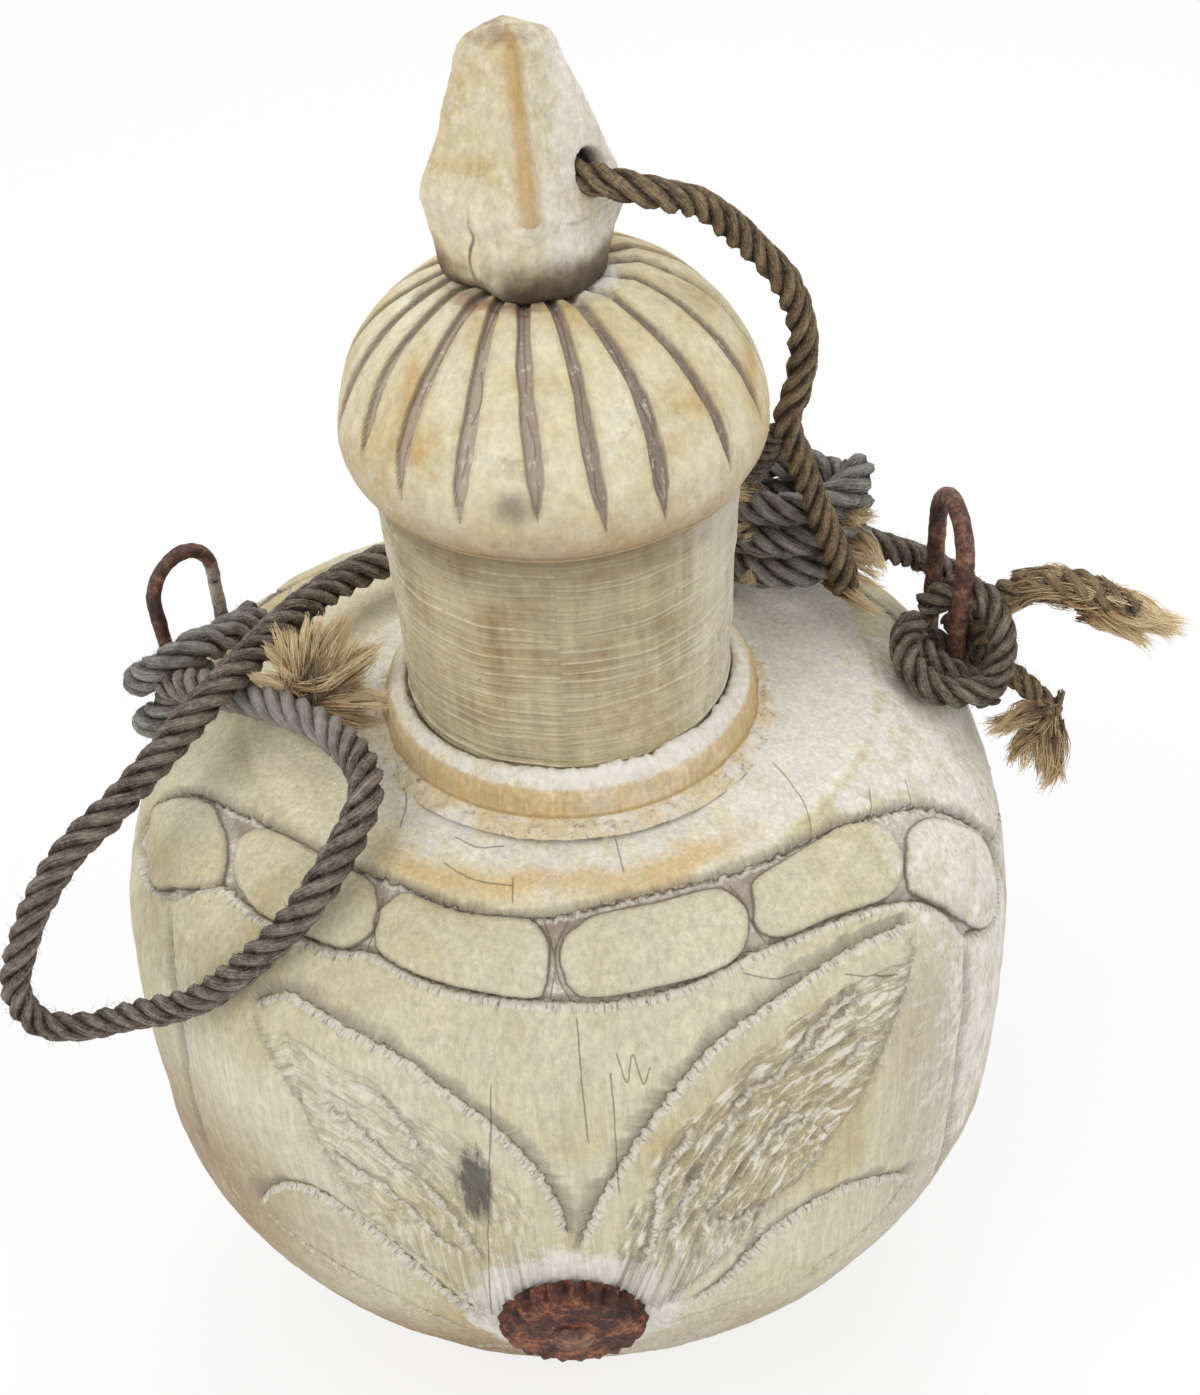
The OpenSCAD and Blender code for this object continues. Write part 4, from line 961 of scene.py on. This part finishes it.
def turnedPiece(name, profile, material, around=360, spacing=0.5, shape=None):
    line = evenly(np.array(profile, dtype=float), spacing)[0]
    heading = unit(np.gradient(line, axis=0))
    angle = np.linspace(0, 2 * np.pi, around, endpoint=False)[None, :]
    r, z = line[:, 0:1] + 0 * angle, line[:, 1:2] + 0 * angle
    look = {}
    if shape:
        push, look = shape(r, z, angle + 0 * r)
        r, z = r + heading[:, 1:2] * push, z - heading[:, 0:1] * push
    points = along3(neckLook["x"] + r * np.sin(angle), neckLook["y"] - r * np.cos(angle), z).reshape(-1, 3) * mm
    return meshObject(name, points, gridFaces(len(line), around), material,
                      {key: value.reshape(-1, 3) if value.ndim == 3 else value.ravel() for key, value in look.items()})


def turnedPlace(r, z, angle):
    return along3(r * np.sin(angle), -r * np.cos(angle), z)


def neckLines(r, z, angle):
    # wavy raised lines left by the tool, about a millimetre apart
    place = turnedPlace(r, z, angle)
    wave = z + bumps(place, 11, 1.0)
    lines = bumps(along3(wave * 1.1, angle * 0.35, 2), 1, 0.34) + 0.06 * np.sin(wave * 5.5)
    return lines * smoothStep(266, 264, z) + bumps(place, 12, 0.4), {"ring": lines}


def turnedWood(name, look):
    # olive wood with fine lathe lines, specks of dirt, chalky scratches near the sides and a painted shadow under the
    # dome's rim
    m, place = newMaterial(name)
    rings = noiseAt(m, stretched(m, place, (0.06, 0.06, 1.0)), 900.0, 4.0, 0.6)
    broad = noiseAt(m, place, 34.0, 5.0, 0.6)
    speck = noiseAt(m, place, 420.0, 7.0, 0.75)
    upright = noiseAt(m, stretched(m, place, (1.0, 1.0, 0.1)), 260.0, 4.0, 0.6)
    position = addNode(m, "ShaderNodeSeparateXYZ", None, {"Vector": place})
    colour = shades(m, broad, [(0.34, look["brown"]), (0.5, look["wood"]), (0.66, look["pale"])])
    colour = darkened(m, colour, between(m, rings, 0.35, 0.62, 0.88, 1.06))
    colour = coat(m, colour, look["raised"], mark(m, "ring"), 0.03, 0.16, 0.7)
    colour = darkened(m, colour, between(m, upright, 0.35, 0.62, 0.82, 1.08))
    colour = darkened(m, colour, between(m, speck, 0.35, 0.6, 0.86, 1.06))
    nearTop = between(m, (position, "Z"), 0.242, 0.262)
    colour = coat(m, colour, look["dark"], product(m, nearTop, weighted(m, upright, 1.0, broad)), 0.9, 1.2, 0.6)
    # painted shadow: darker towards the top of the neck, under the dome's rim
    colour = coat(m, colour, look["dark"], between(m, (position, "Z"), 0.252, 0.266), 0.0, 1.0, 0.45)
    colour = coat(m, colour, look["lime"], product(m, between(m, (position, "X"), 0.012, 0.034), weighted(m, speck, 0.6, upright)), 0.45, 0.75, 0.45)
    colour = coat(m, colour, look["lime"], product(m, between(m, (position, "X"), -0.014, -0.032), speck), 0.4, 0.6, 0.6)
    colour = coat(m, colour, look["brown"], product(m, broad, speck), 0.28, 0.36, 0.6)
    colour = coat(m, colour, look["dark"], speck, 0.62, 0.72, 0.5)
    height = weighted(m, speck, 0.4, rings)
    return finishMaterial(m, colour, 0.7, height, 0.0007, {"Specular IOR Level": 0.3})


neckWood = turnedWood("turnedNeckWood", {
    "wood": "#bdb08c", "brown": "#a18a64", "pale": "#cdc09d", "lime": "#e6e1d4", "dark": "#6b563f", "raised": "#ddd2b4"})
neckProfile = [(34.4, 211), (34.5, 215), (34.6, 220), (35.4, 240), (36.5, 262), (36.4, 265.4), (35.6, 266),
               (25.2, 266), (25.05, 262), (25.05, 204)]
turnedNeck = turnedPiece("turnedNeck", neckProfile, neckWood, spacing=0.3, shape=neckLines)
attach(turnedNeck, "flask")
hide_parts("neck")

collarProfile = [(45.2, 203.2), (43, 204.4), (41.2, 204.9), (40.4, 206), (40.1, 209.4), (39.6, 210.7), (38.4, 211.8),
                 (36.3, 213.3), (35.6, 213.2), (35.1, 212.2), (34.5, 211.8), (34, 211)]


def collarShape(r, z, angle):
    place = turnedPlace(r, z, angle)
    fromFrontRight = (np.degrees(angle) - 30 + 180) % 360 - 180
    fromLeft = (np.degrees(angle) - 300 + 180) % 360 - 180
    crumbs = smoothStep(40.2, 41.2, r)
    frontRight = bell(fromFrontRight, 50)
    packed = frontRight * bell(r - 36, 2.2)
    push = bumps(place, 9, 0.5) + bumps(place, 2, 0.8) * crumbs + packed * (0.8 + bumps(place, 2.5, 1.0) + bumps(place, 1.1, 0.8))
    violet = bell(r - 35.0, 0.5) * (1 - 0.6 * frontRight)
    lime = np.maximum(packed * 1.2, 0.5 * bell(r - 37, 1.5))
    line = bell(r - 34.7, 0.25) + 0.5 * bell(z - 205.4, 0.5) * (r < 41)
    wall = smoothStep(38.4, 39.6, r) * smoothStep(41.4, 40.6, r)
    moat = bell(r - 35.4, 1.3) * bell(fromLeft, 45)
    zero = 0 * r
    return push, {"cut": along3(violet, lime, line), "band": along3(zero, zero, zero),
                  "zone": along3(0.5 * wall + 0.9 * moat, zero, 0.8 * wall + 0.5 * crumbs), "crack": along3(zero, zero, zero),
                  "worn": along3(np.maximum(crumbs, 1.3 * moat), 0.3 + 0.6 * frontRight * (1 - crumbs) - 0.4 * wall, 0.8 + zero)}


collar = turnedPiece("neckCollar", collarProfile, collarWood, around=600, spacing=0.3, shape=collarShape)
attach(collar, "flask")
print("neck turned")


# Stopper: a dome with cut flutes that run out from the finial, and its plug

finialLook = {"x": -0.5, "y": -12.0, "turn": 8.0, "foot": 307.4}
domeLook = {"z": 275.3, "rise": 35.4, "radius": 42.2, "half": 2.35, "deep": 1.5}
fluteEnds = [(-129, 277), (-111, 276), (-93, 278), (-75, 277), (-56, 280), (-37, 277.5), (-18, 276), (1, 277.5), (17.5, 274.5),
             (34, 274), (54.5, 277.5), (74.5, 280), (93, 277), (111, 276), (129, 278), (147, 276), (165, 277), (183, 276),
             (200, 278), (216, 277)]  # direction from the finial in degrees round from the front, height of the lower end


def domeFlutes(r, z, angle):
    place = turnedPlace(r, z, angle)
    fromFinial = place[..., :2] - (finialLook["x"] - neckLook["x"], finialLook["y"] - neckLook["y"])
    inside, edge, crack, push = (0 * r for _ in range(4))
    for number, (turn, low) in enumerate(fluteEnds):
        a = math.radians(turn)
        along = fromFinial @ (math.sin(a), -math.cos(a))
        off = fromFinial @ (math.cos(a), math.sin(a)) + 0.5 * np.sin(z / 6 + number * 2)
        taper = smoothStep(low - 0.5, low + 9, z) ** 0.7 * (0.75 + 0.25 * smoothStep(low, low + 20, z))
        half = domeLook["half"] * taper * (0.95 + 0.15 * math.sin(number * 3.1)) * (1 - 0.35 * smoothStep(low + 8, 306, z)) + bumps(along3(z / 4, number * 7, 1), 1, 0.35) + 0.01
        here = (along > 0) & (z > low) & (np.abs(off) < 6) & (r < domeLook["radius"] + 1)
        cut = smoothStep(1.0, 0.62, np.abs(off) / half) * here
        inside = np.maximum(inside, cut)
        edge = np.maximum(edge, bell(np.abs(off) - half - 0.3, 0.55) * here * (z > low + 1))
        wander = off - bumps(along3(z / 7, number * 5, 9), 1, 1.6)
        crack = np.maximum(crack, 0.7 * bell(wander, 0.25) * cut * (bumps(along3(z / 5, number, 4), 1, 1) > -0.15))
        crack = np.maximum(crack, 0.8 * bell(off + half * 0.8, 0.25) * here * (z > low + 2))
        push = np.minimum(push, -cut * domeLook["deep"] * (0.25 + 0.75 * taper))
    # painted shade: a dark line round the dome's lower lip, where it overhangs the neck; it rides in the crack mark
    rim = bell(z - 268.2, 0.7)
    crack = np.maximum(crack * (r < 41.9), 0.5 * rim)
    smudge = bell((np.degrees(angle) + 9 + 180) % 360 - 180, 8) * bell(z - 280.5, 5)
    fromMiddle = np.hypot(*np.moveaxis(fromFinial, -1, 0)) + bumps(place, 3, 2)
    seatLine = bell(fromMiddle - 16, 2.2)
    side = np.degrees(np.arctan2(fromFinial[..., 0], -fromFinial[..., 1]))
    limed = seatLine * bell(side - 62, 38)
    redness = seatLine * bell(side + 25, 55)
    return push + bumps(place, 13, 0.5), {"flute": inside, "edge": edge, "crack": crack,
                                          "seat": along3(smudge, limed, redness)}


def domeWood(name, look):
    # smooth knife-cut wood, limed, with violet-grey dirt lying in the flutes and golden fringes beside them
    m, place = newMaterial(name)
    broad = noiseAt(m, place, 44.0, 5.0, 0.6, 0.5)
    pits = noiseAt(m, place, 520.0, 8.0, 0.75)
    speck = noiseAt(m, place, 150.0, 7.0, 0.7)
    grain = noiseAt(m, stretched(m, place, (1.0, 1.0, 0.15)), 500.0, 6.0, 0.7)
    position = addNode(m, "ShaderNodeSeparateXYZ", None, {"Vector": place})
    colour = shades(m, broad, [(0.32, look["gold"]), (0.47, look["wood"]), (0.66, look["pale"])])
    colour = coat(m, colour, look["gold"], product(m, mark(m, "edge"), speck), 0.2, 0.6, 0.4)
    low = between(m, (position, "Z"), 0.2835, 0.268)
    colour = coat(m, colour, look["brown"], weighted(m, low, 0.9, weighted(m, speck, 0.8, -0.4)), 0.0, 1.0, 0.85)
    colour = coat(m, colour, look["lime"], speck, 0.6, 0.76, 0.5)
    colour = coat(m, colour, look["brown"], weighted(m, broad, 1.0, weighted(m, speck, 0.8, -0.4)), 0.62, 0.72, 0.5)
    colour = darkened(m, colour, between(m, grain, 0.32, 0.62, 0.88, 1.04))
    right = between(m, (position, "X"), -0.022, 0.022)
    flute = weighted(m, mark(m, "flute"), 0.95, weighted(m, grain, 1.6, weighted(m, pits, 0.8, -1.2)))
    colour = coat(m, colour, look["floor"], flute, 0.25, 0.9, 0.85)
    colour = coat(m, colour, look["deepFloor"], product(m, right, flute), 0.3, 0.95, 0.75)
    colour = coat(m, colour, look["lime"], product(m, mark(m, "flute"), grain), 0.56, 0.66, 0.5)
    # dark cracks, and the painted shade line round the lower lip
    colour = coat(m, colour, look["dark"], mark(m, "crack"), 0.2, 0.9, 0.75)
    smudge, limed, redness = marks(m, "seat")
    colour = coat(m, colour, look["deepFloor"], weighted(m, smudge, 0.9, weighted(m, pits, 1.0, -0.6)), 0.3, 0.8, 0.75)
    colour = coat(m, colour, look["red"], weighted(m, redness, 0.9, weighted(m, pits, 1.0, -0.5)), 0.3, 0.9, 0.7)
    colour = coat(m, colour, look["lime"], weighted(m, limed, 1.0, weighted(m, pits, 1.2, -0.6)), 0.3, 0.8, 0.95)
    colour = darkened(m, colour, between(m, pits, 0.35, 0.6, 0.88, 1.06))
    return finishMaterial(m, colour, 0.62, weighted(m, pits, 0.7, grain), 0.0005, {"Specular IOR Level": 0.35})


stopperWood = domeWood("knifeCutStopperWood", {
    "wood": "#dfd4af", "gold": "#c9ad77", "pale": "#ebe4cd", "floor": "#b19f91", "deepFloor": "#7b6f63",
    "brown": "#a5865e", "lime": "#f4f1e8", "dark": "#3f342b", "red": "#7c4a3e"})
crown = [(domeLook["radius"] * math.cos(math.radians(a)), domeLook["z"] + domeLook["rise"] * math.sin(math.radians(a)))
         for a in range(0, 66, 5)]
domeProfile = [(24.6, 237), (24.7, 238), (24.7, 266.3), (37.4, 266.4), (38.6, 266.9), (39.6, 268.4), (41.2, 271), (42.0, 273.6)] \
    + crown + [(0.3, 307.4)]
fluted = turnedPiece("flutedDome", domeProfile, stopperWood, around=900, spacing=0.4, shape=domeFlutes)
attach(fluted, "stopper")
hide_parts("stopper_dome")
print("stopper fluted")

# Finial: round foot, then four flat faces up to a blunt point
finialLevels = [  # height above the foot, reach to the corners, how square it is
    (-0.4, 15.0, 0), (0.4, 16.0, 0), (2.0, 16.2, 0.15), (5, 17.1, 0.5), (9, 18.7, 0.9), (12, 19.9, 1), (13.0, 20.1, 1),
    (14, 19.9, 1), (20, 17.8, 1), (25, 16.0, 1), (31, 13.7, 1), (36, 11.4, 1), (40.5, 9.8, 1), (43.4, 8.6, 1),
    (45.0, 6.6, 0.9), (45.8, 3.4, 0.6), (45.9, 0.2, 0.5)]
tetherHole = {"start": (5.4, -11, 327.3), "end": (18.7, -18.5, 327.1), "radius": 3.8}
finialCount = 240


def aroundFrom(degrees, middle, width):
    return bell((degrees - middle + 180) % 360 - 180, width)


def finialMesh():
    levels = evenly(spline(finialLevels, 6), 0.5)[0]
    h, r, q = levels[:, 0:1], np.maximum(levels[:, 1:2], 0.1), np.clip(levels[:, 2:3], 0, 1)
    around = np.linspace(0, 2 * np.pi, finialCount, endpoint=False)
    a = around + math.radians(finialLook["turn"])
    degrees = np.degrees(a)
    # the left face runs smoothly down into the foot, the front and left corners sit higher and are rounded
    soft = aroundFrom(degrees, 228, 34) * smoothStep(15, 11, h)
    r, q = r + (19.3 - r) * soft * smoothStep(-1, 3, h), q + (1 - q) * soft
    lift = (4.2 * aroundFrom(degrees, 278, 26) + 2.6 * aroundFrom(degrees, 188, 26)) * smoothStep(0, 12, h) * smoothStep(46, 22, h)
    blunt = 1 - (0.05 * aroundFrom(degrees, 278, 14) + 0.05 * aroundFrom(degrees, 188, 16)) * bell(h - 13, 9)
    corner = around % (np.pi / 2) - np.pi / 4
    square = np.minimum(math.cos(math.pi / 4) / np.cos(corner), 0.975)
    hollow = 0.35 * np.cos(corner * 2) * smoothStep(13, 24, h) * smoothStep(46, 36, h)
    drawnIn = 1.6 * aroundFrom(degrees, 188, 40) * bell(h - 25, 9)
    radius = r * ((1 - q) * 0.96 + q * square) * blunt - hollow - drawnIn
    place = along3(radius * np.cos(a), radius * np.sin(a), h)
    radius = radius + (bumps(place, 7, 0.55) + bumps(place, 2, 0.16)) * np.minimum(1, r / 8)
    lean = -0.6 * np.maximum(0, h) / 47
    points = along3(finialLook["x"] + lean + radius * np.cos(a), finialLook["y"] + radius * np.sin(a),
                    finialLook["foot"] + h + lift)
    start, end = (np.array(tetherHole[k]) for k in ("start", "end"))
    way = unit(end - start)
    off = points - start
    side = np.linalg.norm(off - (off @ way)[..., None] * way, axis=-1)
    # hole marks the walls of the tether hole; the material paints them near black as shade
    hole = smoothStep(tetherHole["radius"] + 0.4, tetherHole["radius"] - 0.5, side + bumps(points, 3, 0.5)) * (off @ way > 0)
    points = points - way * (hole * 5)[..., None]
    ridge = aroundFrom(degrees, 278, 9 + 7 * smoothStep(30, 46, h)) * (h > 12)
    ledge = bell(h - 12.6, 0.8) * aroundFrom(degrees, 330, 50)
    # low and foot mark the undercut and the foot; the material darkens them as painted shade
    low = smoothStep(9.5, 3, h + bumps(place, 5, 2)) * (1 - 0.6 * soft) + 0 * a
    foot = smoothStep(6, 0, h + bumps(place, 3, 2))
    crackLine = bell(points[..., 0] + 9.5 - bumps(place, 4, 1.2), 0.3) * bell(h - 8, 7) * (np.sin(a) < 0)
    tip = smoothStep(40, 45, h) + 0 * a
    return points.reshape(-1, 3) * mm, gridFaces(len(levels), finialCount, True), {
        "ridge": along3(ridge, ledge, crackLine).reshape(-1, 3), "foot": along3(low, foot, tip).reshape(-1, 3),
        "hole": hole.ravel()}


def finialWood(name, look):
    # cut faces of pale wood: growth rings on the left face, golden ridge, painted shade on the undercut and darker
    # painted shade at the foot
    m, place = newMaterial(name)
    centred = addNode(m, "ShaderNodeMapping", None,
                      {"Vector": place, "Location": (0.0093, 0.022, -0.3345), "Scale": (1.0, 1.0, 0.7)}), "Vector"
    rings = (addNode(m, "ShaderNodeTexWave", {"wave_type": "RINGS", "rings_direction": "SPHERICAL"},
                     {"Vector": centred, "Scale": 130.0, "Distortion": 2.0, "Detail": 3.0, "Detail Scale": 2.0}), "Fac")
    grain = noiseAt(m, stretched(m, place, (1.0, 1.0, 0.15)), 520.0, 6.0, 0.7)
    pits = noiseAt(m, place, 520.0, 8.0, 0.75)
    speck = noiseAt(m, place, 150.0, 7.0, 0.7)
    broad = noiseAt(m, place, 60.0, 5.0, 0.6)
    ridge, ledge, crack = marks(m, "ridge")
    low, foot, tip = marks(m, "foot")
    position = addNode(m, "ShaderNodeSeparateXYZ", None, {"Vector": place})
    colour = shades(m, broad, [(0.32, look["gold"]), (0.48, look["wood"]), (0.64, look["pale"])])
    colour = darkened(m, colour, between(m, rings, 0.0, 0.5, 0.96, 1.0))
    # whiter on the right half: lime, together with painted light on the faces towards the right
    colour = coat(m, colour, look["lime"], weighted(m, between(m, (position, "X"), 0.0, 0.008), 0.3, weighted(m, pits, 0.4, speck)), 0.72, 1.05, 0.85)
    # painted shade: the undercut darker brown
    colour = coat(m, colour, look["under"], weighted(m, low, 0.9, weighted(m, speck, 0.8, -0.4)), 0.15, 0.85, 0.9)
    colour = coat(m, colour, look["gold"], weighted(m, ridge, 0.9, weighted(m, speck, 0.9, -0.45)), 0.2, 0.9, 0.8)
    # painted shade: darkest at the foot, where the finial sits on the dome
    colour = coat(m, colour, look["dirt"], weighted(m, foot, 0.9, weighted(m, speck, 0.8, -0.4)), 0.1, 0.9, 0.95)
    colour = coat(m, colour, look["stain"], product(m, tip, speck), 0.4, 0.6, 0.6)
    colour = darkened(m, colour, between(m, grain, 0.32, 0.62, 0.86, 1.04))
    colour = coat(m, colour, look["stain"], product(m, ledge, speck), 0.3, 0.6, 0.6)
    colour = coat(m, colour, look["dirt"], crack, 0.1, 0.9, 0.85)
    # painted shade: the inside of the tether hole near black
    colour = coat(m, colour, look["hollow"], mark(m, "hole"), 0.1, 0.7, 0.97)
    colour = darkened(m, colour, between(m, pits, 0.35, 0.6, 0.86, 1.07))
    return finishMaterial(m, colour, 0.66, weighted(m, pits, 0.7, grain), 0.0005, {"Specular IOR Level": 0.35})


points, faces, look = finialMesh()
# finial colours: under and dirt are painted shade for the undercut and the foot, and dirt also colours the crack line
knobWood = finialWood("facetedFinialWood", {
    "wood": "#dccea6", "gold": "#c39f62", "pale": "#e6dcc2", "lime": "#f3eee4", "under": "#77634b", "dirt": "#43352a",
    # hollow is painted shade for the inside of the tether hole
    "hollow": "#17110d",
    "stain": "#7b4f38"})
finial = meshObject("facetedFinial", points, faces, knobWood, look)
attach(finial, "stopper")
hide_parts("stopper_finial")
print("finial cut")


# Rusted metal

def rust(name, look, bump):
    # iron with a skin of brown rust: rough, mottled, orange where it flakes, specks of lime caught on it
    m, place = newMaterial(name)
    broad = noiseAt(m, place, 170.0, 8.0, 0.7)
    fine = noiseAt(m, place, 900.0, 6.0, 0.7)
    tone = weighted(m, fine, 0.5, broad)
    colour = shades(m, tone, [(0.6, look["dark"]), (0.75, look["brown"]), (0.92, look["orange"])])
    colour = coat(m, colour, look["lime"], fine, 0.66, 0.74, look["limed"])
    colour = coat(m, colour, look["lime"], product(m, mark(m, "age"), tone), 0.55, 0.8, 0.85)
    return finishMaterial(m, colour, 0.66, tone, bump, {"Specular IOR Level": 0.5})


rustedTin = rust("rustedTinplate", {"dark": "#1e0f0a", "brown": "#552c20", "orange": "#b06f48", "lime": "#d8ae86", "limed": 0.6}, 0.001)
rustedIron = rust("rustedIronWire", {"dark": "#2b1b17", "brown": "#57382f", "orange": "#9b6f55", "lime": "#cbbfae", "limed": 0.7}, 0.0005)


def stapleObject(name, node, look):
    near, far = stapleLegs(look)
    middle, across = (near + far) / 2, unit(far - near)
    half, wire = look["span"] / 2, look["wire"] / 2
    bow = look["top"] - wire - half
    lowNear, lowFar = (float(shoulderAt(*leg)) - stapleLook["bite"] for leg in (near, far))
    line = [(*near, z) for z in np.linspace(lowNear, bow, 8)]
    line += [(*(middle - across * math.cos(a) * half), bow + math.sin(a) * half) for a in np.linspace(0, math.pi, 15)[1:-1]]
    line += [(*far, z) for z in np.linspace(bow, lowFar, 8)]
    points = evenly(spline(line, 4), 0.6)[0]
    around = np.linspace(0, 2 * np.pi, 24, endpoint=False)
    rise = np.clip((points[:, 2] - lowNear) / (look["top"] - lowNear), 0, 1)
    nearLeg = smoothStep(half, -half, (points[:, :2] - middle) @ across)
    points[:, 0] += look["bow"] * (1 - rise) ** 1.5 * nearLeg
    round24 = tubeRings(points, wire * look["thin"] * (1 + bumps(points, 7, 0.1))[:, None], around, 24)
    rings = round24 + (bumps(round24, 1.6, 0.17))[..., None] * unit(round24 - points[:, None])
    age = look["limed"] * (1 - nearLeg) * smoothStep(1.0, 0.75, rise) + 0 * nearLeg
    piece = meshObject(name, rings.reshape(-1, 3) * mm, gridFaces(len(points), 24, True), rustedIron,
                       {"age": np.repeat(age, 24)})
    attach(piece, "flask")
    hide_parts(node)


stapleObject("leftStaple", "left_staple", stapleLook["left"])
stapleObject("rightStaple", "right_staple", stapleLook["right"])


def capMesh():
    around = np.linspace(0, 2 * np.pi, 21 * 20, endpoint=False)
    tooth = np.abs((around * capLook["points"] / (2 * np.pi)) % 1 - 0.5) * 2
    crimp = tooth ** 1.1
    rings = []
    for t in np.linspace(0, 1, 46):
        if t < 0.62:
            radius = 0.2 + 13.1 * t / 0.62 + 0 * around
            height = 5.6 + 0.9 * bell(radius, 9) + 0.3 * bell(radius - 12.4, 0.7)
        else:
            s = (t - 0.62) / 0.38
            radius = 13.3 + s * 0.9 + crimp * s * 2.5
            height = 0.2 + 5.4 * math.cos(s * math.pi / 2) ** 0.8 + crimp * s * 2.2
        place = along3(radius * np.cos(around), radius * np.sin(around), height)
        rings.append(place + along3(0, 0, bumps(place, 3, 0.3) + bumps(place, 1, 0.14)))
    return np.concatenate(rings) * mm, gridFaces(len(rings), len(around))


points, faces = capMesh()
cap = meshObject("crimpedCrownCap", points, faces, rustedTin)
cap.data.transform(capPlace)
sheet = cap.modifiers.new("sheet", "SOLIDIFY")
sheet.thickness = 0.35 * mm
sheet.offset = -1
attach(cap, "flask")
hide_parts("crown_cap")

nailProfile = [(1.5, -9), (1.6, -8), (1.6, 6.2), (4.0, 6.5), (4.6, 7.0), (4.4, 7.8), (3.4, 8.5), (2, 8.8), (0.1, 8.8)]
a = np.linspace(0, 2 * np.pi, 48, endpoint=False)
profile = spline(nailProfile, 3)
radius = profile[:, 0:1] * (1 + 0.05 * np.sin(a * 3 + profile[:, 1:2]) + 0.03 * np.sin(a * 7))
nail = meshObject("nailHead", along3(radius * np.cos(a), radius * np.sin(a), profile[:, 1:2]).reshape(-1, 3) * mm,
                  gridFaces(len(profile), 48), rustedIron)
nail.data.transform(capPlace)
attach(nail, "flask")
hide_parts("cap_nail")
print("metal made")


# Floor, lamps and world
def floorMaterial():
    # plain white floor: full white to the camera, with the bottle's soft shadow kept
    m, _ = newMaterial("whiteFloor")
    plain = addNode(m, "ShaderNodeBsdfDiffuse", None, {"Color": (0.9, 0.9, 0.9, 1)})
    glow = addNode(m, "ShaderNodeEmission", None, {"Color": (1, 1, 1, 1), "Strength": 1.0})
    rays = addNode(m, "ShaderNodeLightPath")
    share = addNode(m, "ShaderNodeMath", {"operation": "MULTIPLY"}, {0: (rays, "Is Camera Ray"), 1: 0.75})
    mixed = addNode(m, "ShaderNodeMixShader", None, {0: (share, "Value"), 1: (plain, "BSDF"), 2: (glow, "Emission")})
    addNode(m, "ShaderNodeOutputMaterial", None, {"Surface": (mixed, "Shader")})
    return m


floorPoints = [(-6, -6, -0.0002), (6, -6, -0.0002), (6, 6, -0.0002), (-6, 6, -0.0002)]
floor = meshObject("floor", floorPoints, [(0, 1, 2, 3)], floorMaterial(), smooth=False)

world = bpy.data.worlds.new("studio")
scene.world = world
world.use_nodes = True
world.node_tree.nodes.clear()
sky = addNode(world, "ShaderNodeBackground", None, {"Color": (1, 1, 1, 1), "Strength": 0.62})
white = addNode(world, "ShaderNodeBackground", None, {"Color": (1, 1, 1, 1), "Strength": 1.0})
path = addNode(world, "ShaderNodeLightPath")
seen = addNode(world, "ShaderNodeMath", {"operation": "MAXIMUM"}, {0: (path, "Is Camera Ray"), 1: (path, "Is Glossy Ray")})
both = addNode(world, "ShaderNodeMixShader", None, {0: (seen, "Value"), 1: (sky, "Background"), 2: (white, "Background")})
addNode(world, "ShaderNodeOutputWorld", None, {"Surface": (both, "Shader")})

lampLook = [  # name, place, aim, size, watts
    ("keyLamp", (-0.9, -0.8, 1.5), (0, 0, 0.2), 1.5, 13),
    ("fillLamp", (1.2, -0.7, 1.0), (0, 0, 0.2), 1.2, 6),
    ("backLamp", (0.2, 1.0, 1.7), (0, 0, 0.2), 1.2, 10),
]
for name, place, aim, size, watts in lampLook:
    data = bpy.data.lights.new(name, "AREA")
    data.shape = "DISK"
    data.size = size
    data.energy = watts
    lamp = bpy.data.objects.new(name, data)
    lamp.location = place
    lamp.rotation_euler = (Vector(aim) - Vector(place)).to_track_quat("-Z", "Y").to_euler()
    scene.collection.objects.link(lamp)
scene.view_settings.view_transform = "Standard"
print("lit")
